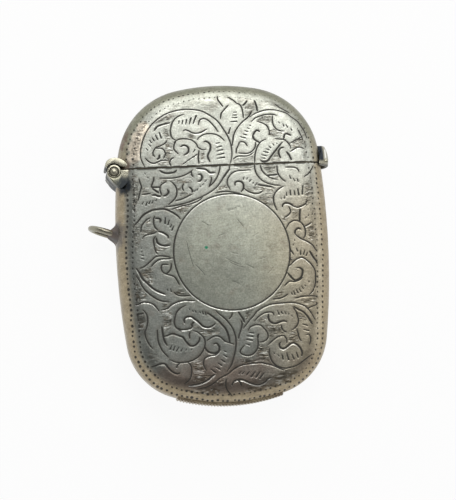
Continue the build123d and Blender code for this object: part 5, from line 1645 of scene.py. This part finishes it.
def striker_tree():
    """Geometry Nodes that lay ribs side by side along an arc."""
    tree = bpy.data.node_groups.new("striker_ribs", "GeometryNodeTree")
    for name, kind, value in (
        ("Rib count", "NodeSocketInt", 34), ("Arc radius", "NodeSocketFloat", 0.02726),
        ("Half angle", "NodeSocketFloat", 0.29), ("Rib length", "NodeSocketFloat", 0.0042),
        ("Rib radius", "NodeSocketFloat", 0.00017), ("Material", "NodeSocketMaterial", None),
    ):
        socket = tree.interface.new_socket(name, in_out="INPUT", socket_type=kind)
        if value is not None:
            socket.default_value = value
    tree.interface.new_socket("Geometry", in_out="OUTPUT", socket_type="NodeSocketGeometry")
    nodes = tree.nodes
    links = tree.links
    given = nodes.new("NodeGroupInput").outputs
    count = nodes.new("GeometryNodeMeshLine")
    count.mode = "OFFSET"
    links.new(given["Rib count"], count.inputs["Count"])
    index = nodes.new("GeometryNodeInputIndex")
    last = nodes.new("ShaderNodeMath")
    last.operation = "SUBTRACT"
    links.new(given["Rib count"], last.inputs[0])
    last.inputs[1].default_value = 1.0
    share = nodes.new("ShaderNodeMath")
    share.operation = "DIVIDE"
    links.new(index.outputs[0], share.inputs[0])
    links.new(last.outputs[0], share.inputs[1])
    spread = nodes.new("ShaderNodeMath")
    spread.operation = "MULTIPLY_ADD"
    links.new(share.outputs[0], spread.inputs[0])
    spread.inputs[1].default_value = 2.0
    spread.inputs[2].default_value = -1.0
    turn = nodes.new("ShaderNodeMath")
    turn.operation = "MULTIPLY"
    links.new(spread.outputs[0], turn.inputs[0])
    links.new(given["Half angle"], turn.inputs[1])
    parts = []
    for operation in ("SINE", "COSINE"):
        wave = nodes.new("ShaderNodeMath")
        wave.operation = operation
        links.new(turn.outputs[0], wave.inputs[0])
        scaled = nodes.new("ShaderNodeMath")
        scaled.operation = "MULTIPLY"
        links.new(wave.outputs[0], scaled.inputs[0])
        links.new(given["Arc radius"], scaled.inputs[1])
        parts.append(scaled)
    down = nodes.new("ShaderNodeMath")
    down.operation = "MULTIPLY"
    down.inputs[1].default_value = -1.0
    links.new(parts[1].outputs[0], down.inputs[0])
    place = nodes.new("ShaderNodeCombineXYZ")
    links.new(parts[0].outputs[0], place.inputs["X"])
    links.new(down.outputs[0], place.inputs["Y"])
    moved = nodes.new("GeometryNodeSetPosition")
    links.new(count.outputs["Mesh"], moved.inputs["Geometry"])
    links.new(place.outputs["Vector"], moved.inputs["Position"])
    rib = nodes.new("GeometryNodeMeshCylinder")
    rib.fill_type = "NGON"
    rib.inputs["Vertices"].default_value = 10
    links.new(given["Rib radius"], rib.inputs["Radius"])
    links.new(given["Rib length"], rib.inputs["Depth"])
    laid = nodes.new("GeometryNodeInstanceOnPoints")
    links.new(moved.outputs["Geometry"], laid.inputs["Points"])
    links.new(rib.outputs["Mesh"], laid.inputs["Instance"])
    real = nodes.new("GeometryNodeRealizeInstances")
    links.new(laid.outputs["Instances"], real.inputs["Geometry"])
    finished = nodes.new("GeometryNodeSetMaterial")
    links.new(real.outputs["Geometry"], finished.inputs["Geometry"])
    links.new(given["Material"], finished.inputs["Material"])
    out = nodes.new("NodeGroupOutput")
    links.new(finished.outputs["Geometry"], out.inputs["Geometry"])
    return tree


STRIKER_HALF_LENGTH = 8.2
STRIKER_HALF_WIDTH = 2.3
STRIKER_THICKNESS = 0.34
STRIKER_RIB_COUNT = 34
STRIKER_RIB_RADIUS = 0.17


class VESTA_OT_stage(bpy.types.Operator):
    """Sets up the floor, the soft lights, the white background and the camera."""

    bl_idname = "vesta.stage"
    bl_label = "Stage"

    def execute(self, context):
        stage = context.scene.vesta_stage
        context.scene.view_settings.view_transform = "Standard"
        camera = bpy.data.cameras.new("camera")
        camera.sensor_fit = "HORIZONTAL"
        camera.sensor_width = 36.0
        camera.lens = 203.13
        eye = bpy.data.objects.new("camera", camera)
        turn = (Matrix.Rotation(math.radians(5.16), 4, "X") @ Matrix.Rotation(math.radians(-4.76), 4, "Y")
                @ Matrix.Rotation(math.radians(-2.42), 4, "Z"))
        eye.matrix_world = Matrix.Translation((-0.0322, -0.0366, 0.4007)) @ turn
        context.scene.collection.objects.link(eye)
        context.scene.camera = eye
        lamps = (
            ("softbox", (0.025, 0.14, 0.26), (0.01, 0.0, 0.0), (0.20, 0.16), stage.key_power),
            ("window", (-0.04, 0.50, 0.25), (0, 0, 0), (0.45, 0.20), stage.window_power),
            ("right", (0.36, -0.02, 0.20), (0, 0, 0), (0.16, 0.24), stage.fill_power),
        )
        for name, place, aim, size, power in lamps:
            lamp = bpy.data.lights.new(name, "AREA")
            lamp.shape = "RECTANGLE"
            lamp.size, lamp.size_y = size
            lamp.energy = power
            holder = bpy.data.objects.new(name, lamp)
            way = Vector(aim) - Vector(place)
            holder.matrix_world = Matrix.Translation(place) @ way.to_track_quat("-Z", "Y").to_matrix().to_4x4()
            context.scene.collection.objects.link(holder)
        floor_mesh = bpy.data.meshes.new("floor")
        half = stage.floor_size / 2
        floor_mesh.from_pydata(
            [(-half, -half, -0.00012), (half, -half, -0.00012), (half, half, -0.00012), (-half, half, -0.00012)],
            [], [(0, 1, 2, 3)],
        )
        floor = new_object("floor", floor_mesh)
        floor_mesh.materials.append(floor_paper())
        white_world(stage.world_strength)
        return {"FINISHED"}


def seen_directly(tree):
    """1 for rays of the camera, of mirrors and of glass, 0 for light that falls on things."""
    path = tree.nodes.new("ShaderNodeLightPath")
    first = tree.nodes.new("ShaderNodeMath")
    first.operation = "MAXIMUM"
    tree.links.new(path.outputs["Is Camera Ray"], first.inputs[0])
    tree.links.new(path.outputs["Is Transmission Ray"], first.inputs[1])
    second = tree.nodes.new("ShaderNodeMath")
    second.operation = "MAXIMUM"
    tree.links.new(first.outputs["Value"], second.inputs[0])
    tree.links.new(path.outputs["Is Glossy Ray"], second.inputs[1])
    return second.outputs["Value"]


def floor_paper():
    """White paper that keeps a soft shadow."""
    material = bpy.data.materials.new("floor_paper")
    material.use_nodes = True
    tree = material.node_tree
    surface = tree.nodes["Principled BSDF"]
    surface.inputs["Base Color"].default_value = (0.86, 0.86, 0.85, 1.0)
    surface.inputs["Roughness"].default_value = 0.9
    grain = tree.nodes.new("ShaderNodeTexNoise")
    grain.inputs["Scale"].default_value = 900.0
    place = tree.nodes.new("ShaderNodeTexCoord")
    tree.links.new(place.outputs["Object"], grain.inputs["Vector"])
    bump = tree.nodes.new("ShaderNodeBump")
    bump.inputs["Strength"].default_value = 0.05
    bump.inputs["Distance"].default_value = 0.0002
    tree.links.new(grain.outputs["Fac"], bump.inputs["Height"])
    tree.links.new(bump.outputs["Normal"], surface.inputs["Normal"])
    glow = tree.nodes.new("ShaderNodeEmission")
    glow.inputs["Strength"].default_value = 1.0
    mix = tree.nodes.new("ShaderNodeMixShader")
    share = tree.nodes.new("ShaderNodeMath")
    share.operation = "MULTIPLY"
    tree.links.new(seen_directly(tree), share.inputs[0])
    share.inputs[1].default_value = 0.93
    tree.links.new(share.outputs["Value"], mix.inputs["Fac"])
    tree.links.new(surface.outputs["BSDF"], mix.inputs[1])
    tree.links.new(glow.outputs["Emission"], mix.inputs[2])
    tree.links.new(mix.outputs["Shader"], tree.nodes["Material Output"].inputs["Surface"])
    return material


def white_world(strength):
    """White at and below the horizon, where the camera looks past the floor, and softer overhead."""
    world = bpy.data.worlds.new("studio")
    bpy.context.scene.world = world
    world.use_nodes = True
    tree = world.node_tree
    tree.nodes.clear()
    place = tree.nodes.new("ShaderNodeTexCoord")
    split = tree.nodes.new("ShaderNodeSeparateXYZ")
    tree.links.new(place.outputs["Generated"], split.inputs["Vector"])
    fade = tree.nodes.new("ShaderNodeMapRange")
    for name, number in (("From Min", 0.10), ("From Max", 0.85), ("To Min", 1.0), ("To Max", strength)):
        fade.inputs[name].default_value = number
    tree.links.new(split.outputs["Z"], fade.inputs["Value"])
    sky = tree.nodes.new("ShaderNodeBackground")
    sky.inputs["Color"].default_value = (1.0, 1.0, 1.0, 1.0)
    tree.links.new(fade.outputs["Result"], sky.inputs["Strength"])
    out = tree.nodes.new("ShaderNodeOutputWorld")
    tree.links.new(sky.outputs["Background"], out.inputs["Surface"])


class VESTA_OT_shells(bpy.types.Operator):
    """Builds the four stamped shells with their engraving."""

    bl_idname = "vesta.shells"
    bl_label = "Engraved shells"

    def execute(self, context):
        settings = context.scene.vesta_engraving
        engraved_shell("body_front_shell", "case", settings.body_pitch, False, False)
        engraved_shell("lid_front_shell", "lid", settings.lid_pitch, True, False)
        engraved_shell("body_back_shell", "case", settings.back_pitch, False, True)
        engraved_shell("lid_back_shell", "lid", settings.back_pitch, True, True)
        return {"FINISHED"}


class VESTA_OT_mouth(bpy.types.Operator):
    """Gives the inner rim of the mouth its worn finish."""

    bl_idname = "vesta.mouth"
    bl_label = "Mouth rim"

    def execute(self, context):
        finish = context.scene.vesta_finish
        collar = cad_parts["mouth_collar"]
        collar.data.materials.clear()
        collar.data.materials.append(plain_silver("worn_lining", tuple(finish.lining), 0.38, 0.3))
        return {"FINISHED"}


class VESTA_OT_hinge(bpy.types.Operator):
    """Builds the barrel, the pin, the bearer on the body and the strap on the lid."""

    bl_idname = "vesta.hinge"
    bl_label = "Hinge"

    def execute(self, context):
        sizes = context.scene.vesta_sizes
        hinge = context.scene.vesta_hinge
        finish = context.scene.vesta_finish
        # The hinge silver carries painted shade in its depth and under the barrel.
        silver = plain_silver("hinge_silver_with_painted_shade", tuple(finish.fittings_tone_and_shade), 0.26, 0.12,
                              painted_hinge_shade=(7.4, 8.75, 0.96), flecks=0.08)
        rivet = plain_silver("worn_rivet", tuple(finish.fittings_tone_and_shade), 0.24, 0.15, flecks=0.1)
        middle = sizes.thickness / 2
        pin = (hinge.pin_x, hinge.pin_y)
        near = hinge.lid_knuckle_half + hinge.end_gap
        for node, way in (("body_knuckle_front", 1.0), ("body_knuckle_back", -1.0)):
            profile = knuckle_profile(hinge, middle + way * near, middle + way * hinge.barrel_half,
                                      hinge.pin_radius, True)
            piece = new_object(node + "_turned", lathe_mesh(node, profile, *pin))
            place_piece(piece, node, "case", silver, 35.0)
        profile = knuckle_profile(hinge, middle - hinge.lid_knuckle_half, middle + hinge.lid_knuckle_half,
                                  hinge.pin_radius + 0.04, False)
        piece = new_object("lid_knuckle_turned", lathe_mesh("lid_knuckle", profile, *pin))
        place_piece(piece, "lid_knuckle", "lid", silver, 35.0)
        piece = new_object("hinge_pin_riveted", lathe_mesh("hinge_pin", pin_profile(hinge, sizes), *pin))
        place_piece(piece, "hinge_pin", "case", rivet, 50.0)
        self.bearer(sizes, hinge, silver)
        self.strap(sizes, hinge, silver)
        return {"FINISHED"}

    def bearer(self, sizes, hinge, silver):
        """Web under the barrel, worn to a soft bulge."""
        lower = [(2.8, 0.17), (2.6, -0.7), (2.1, -1.6), (1.4, -2.35), (0.85, -2.65), (0.35, -2.2),
                 (-0.18, -1.72), (-0.55, -1.27), (-0.74, -0.94), (-0.97, -0.64), (-1.1, -0.32)]
        path = smooth_path(lower, 0.25)
        cup = [(1.08 * math.cos(math.radians(t)), 1.08 * math.sin(math.radians(t))) for t in range(208, 371, 8)]
        cup = [point for point in cup if point[1] < 0.16]
        outline = [(hinge.pin_x + x, hinge.pin_y + y) for x, y in list(map(tuple, path)) + cup]
        middle = sizes.thickness / 2
        piece = new_object("hinge_bearer_worn", prism_mesh("hinge_bearer", outline, middle - 4.3, middle + 4.3, 0.30))
        cut_away(piece, case_core_mesh(sizes, 0.12))
        place_piece(piece, "body_hinge_bearer", "case", silver, 48.0)

    def strap(self, sizes, hinge, silver):
        """Half-round strap on the lid, thinner towards its free end."""

        def outer_at(turn):
            degrees = math.degrees(turn)
            return float(np.interp(degrees, [10, 30, 80, 105, 120, 135, 149],
                                   [2.45, 2.3, 2.15, 2.1, 2.0, 1.8, 1.5]))

        outline = sector(hinge.hood_inner, outer_at, 12.0, 40.0, 146.0, (hinge.pin_x, hinge.pin_y))
        middle = sizes.thickness / 2
        piece = new_object("hinge_strap_worn", prism_mesh("hinge_strap", outline, middle - 4.15, middle + 4.15, 0.3))
        cut_away(piece, case_core_mesh(sizes, 0.12))
        place_piece(piece, "lid_hinge_hood", "lid", silver, 48.0)


class VESTA_OT_thumbpiece(bpy.types.Operator):
    """Builds the bowed half-round plate that opens the lid."""

    bl_idname = "vesta.thumbpiece"
    bl_label = "Thumbpiece"

    def execute(self, context):
        sizes = context.scene.vesta_sizes
        finish = context.scene.vesta_finish
        # The seat lays painted shade near the case wall and below the sill, and a painted highlight on the rim.
        silver = plain_silver("thumbpiece_silver_with_painted_light", tuple(finish.fittings_tone_and_shade), 0.24, 0.2, seat=(16.05, 16.4, 11.9))
        piece = new_object("thumbpiece_plate", thumbpiece_mesh(sizes))
        wall_x = sizes.width / 2 - sizes.seam_y**2 / (2 * sizes.side_radius)
        low = sizes.seam_y + sizes.seam_gap / 2
        outline = [(wall_x - 0.2, low), (wall_x + 1.1, low), (wall_x + 1.1, low + 0.45), (wall_x - 0.2, low + 0.45)]
        middle = sizes.thickness / 2
        foot = prism_mesh("thumb_foot", outline, middle - 2.6, middle + 2.6, 0.08)
        rise = np.linspace(low, low + 2.75, 9)
        seat = wall_at(outline_arcs(sizes), sizes, rise, middle) - 0.2
        bowl = THUMB_DOME_RADIUS - THUMB_THICKNESS
        off = rise - sizes.seam_y + THUMB_BASE_DROP - THUMB_DOME_RISE
        face = wall_x + THUMB_BULGE - THUMB_DOME_RADIUS + np.sqrt(bowl**2 - off**2) + 0.08
        outline = list(zip(seat[::-1], rise[::-1])) + list(zip(face, rise))
        # The root web fills the gap between the case wall and the plate, where the painted shade lies.
        root = prism_mesh("thumb_root", outline, middle - 1.3, middle + 1.3, 0.1)
        work = bmesh.new()
        work.from_mesh(piece.data)
        for extra in (foot, root):
            work.from_mesh(extra)
        work.to_mesh(piece.data)
        work.free()
        for extra in (foot, root):
            bpy.data.meshes.remove(extra)
        place_piece(piece, "thumbpiece", "lid", silver, 50.0)
        return {"FINISHED"}


class VESTA_OT_striker(bpy.types.Operator):
    """Lays the ribs of the striker on its plate."""

    bl_idname = "vesta.striker"
    bl_label = "Striker"

    def execute(self, context):
        sizes = context.scene.vesta_sizes
        finish = context.scene.vesta_finish
        silver = plain_silver("worn_striker", tuple(finish.warm), 0.36, 0.6, flecks=0.5)
        ribs = new_object("striker_ribbed", bpy.data.meshes.new("striker_ribbed"))
        outer = sizes.base_radius + STRIKER_THICKNESS
        half_turn = math.asin(STRIKER_HALF_LENGTH / outer)
        modifier = ribs.modifiers.new("ribs", "NODES")
        modifier.node_group = striker_tree()
        given = {item.name: item.identifier for item in modifier.node_group.interface.items_tree
                 if item.item_type == "SOCKET" and item.in_out == "INPUT"}
        modifier[given["Rib count"]] = STRIKER_RIB_COUNT
        modifier[given["Arc radius"]] = (outer - STRIKER_RIB_RADIUS) * MM
        modifier[given["Half angle"]] = half_turn * 0.97
        modifier[given["Rib length"]] = (2 * STRIKER_HALF_WIDTH - 0.3) * MM
        modifier[given["Rib radius"]] = STRIKER_RIB_RADIUS * MM
        modifier[given["Material"]] = silver
        settled(ribs)
        centre_y = sizes.base_radius - sizes.height / 2
        ribs.data.transform(Matrix.Translation((0.0, centre_y * MM, sizes.thickness / 2 * MM)))
        turns = np.linspace(-half_turn, half_turn, 61)
        face = outer - 0.15
        low = [(face * math.sin(t), centre_y - face * math.cos(t)) for t in turns]
        inner = sizes.base_radius - 0.12
        high = [(inner * math.sin(t), centre_y - inner * math.cos(t)) for t in turns[::-1]]
        middle = sizes.thickness / 2
        plate = prism_mesh("striker_plate_body", low + high, middle - STRIKER_HALF_WIDTH,
                           middle + STRIKER_HALF_WIDTH, 0.06)
        work = bmesh.new()
        work.from_mesh(ribs.data)
        work.from_mesh(plate)
        work.to_mesh(ribs.data)
        work.free()
        bpy.data.meshes.remove(plate)
        place_piece(ribs, "striker_plate", "case", silver, 50.0)
        return {"FINISHED"}


class VESTA_OT_loop(bpy.types.Operator):
    """Builds the suspension ring and the solder that holds it."""

    bl_idname = "vesta.loop"
    bl_label = "Suspension loop"

    def execute(self, context):
        sizes = context.scene.vesta_sizes
        finish = context.scene.vesta_finish
        # The ring's silver is darkened further, a painted shade for its shaded lower half.
        silver = plain_silver("ring_silver_with_painted_shade", tuple(c * 0.78 for c in finish.fittings_tone_and_shade), 0.22, 0.4)
        solder = plain_silver("grey_solder", tuple(finish.solder), 0.55, 0.6, 0.5)
        piece = new_object("suspension_loop_worn", loop_mesh(sizes))
        place_piece(piece, "suspension_loop", "case", silver, 60.0)
        piece = new_object("loop_solder_mound", solder_mesh(sizes))
        place_piece(piece, "loop_solder", "case", solder, 60.0)
        return {"FINISHED"}


class VESTA_PT_case(bpy.types.Panel):
    """Panel in the sidebar with every piece of the case."""

    bl_label = "Vesta case"
    bl_idname = "VESTA_PT_case"
    bl_space_type = "VIEW_3D"
    bl_region_type = "UI"
    bl_category = "Vesta case"

    def draw(self, context):
        for operator in OPERATORS:
            self.layout.operator(operator.bl_idname)
        for name in SETTINGS:
            group = getattr(context.scene, name)
            box = self.layout.box()
            for field in group.bl_rna.properties:
                if field.identifier not in ("rna_type", "name"):
                    box.prop(group, field.identifier)


SETTINGS = {
    "vesta_sizes": VestaCaseSizes,
    "vesta_hinge": VestaHingeSizes,
    "vesta_engraving": VestaEngraving,
    "vesta_finish": VestaFinish,
    "vesta_stage": VestaStage,
}
OPERATORS = (
    VESTA_OT_stage,
    VESTA_OT_shells,
    VESTA_OT_mouth,
    VESTA_OT_hinge,
    VESTA_OT_thumbpiece,
    VESTA_OT_striker,
    VESTA_OT_loop,
)


def register():
    for name, group in SETTINGS.items():
        bpy.utils.register_class(group)
        setattr(bpy.types.Scene, name, bpy.props.PointerProperty(type=group))
    for operator in OPERATORS:
        bpy.utils.register_class(operator)
    bpy.utils.register_class(VESTA_PT_case)


def unregister():
    bpy.utils.unregister_class(VESTA_PT_case)
    for operator in reversed(OPERATORS):
        bpy.utils.unregister_class(operator)
    for name, group in SETTINGS.items():
        delattr(bpy.types.Scene, name)
        bpy.utils.unregister_class(group)


def main():
    register()
    bpy.ops.vesta.stage()
    bpy.ops.vesta.shells()
    bpy.ops.vesta.mouth()
    bpy.ops.vesta.hinge()
    bpy.ops.vesta.thumbpiece()
    bpy.ops.vesta.striker()
    bpy.ops.vesta.loop()


if __name__ == "__main__":
    main()
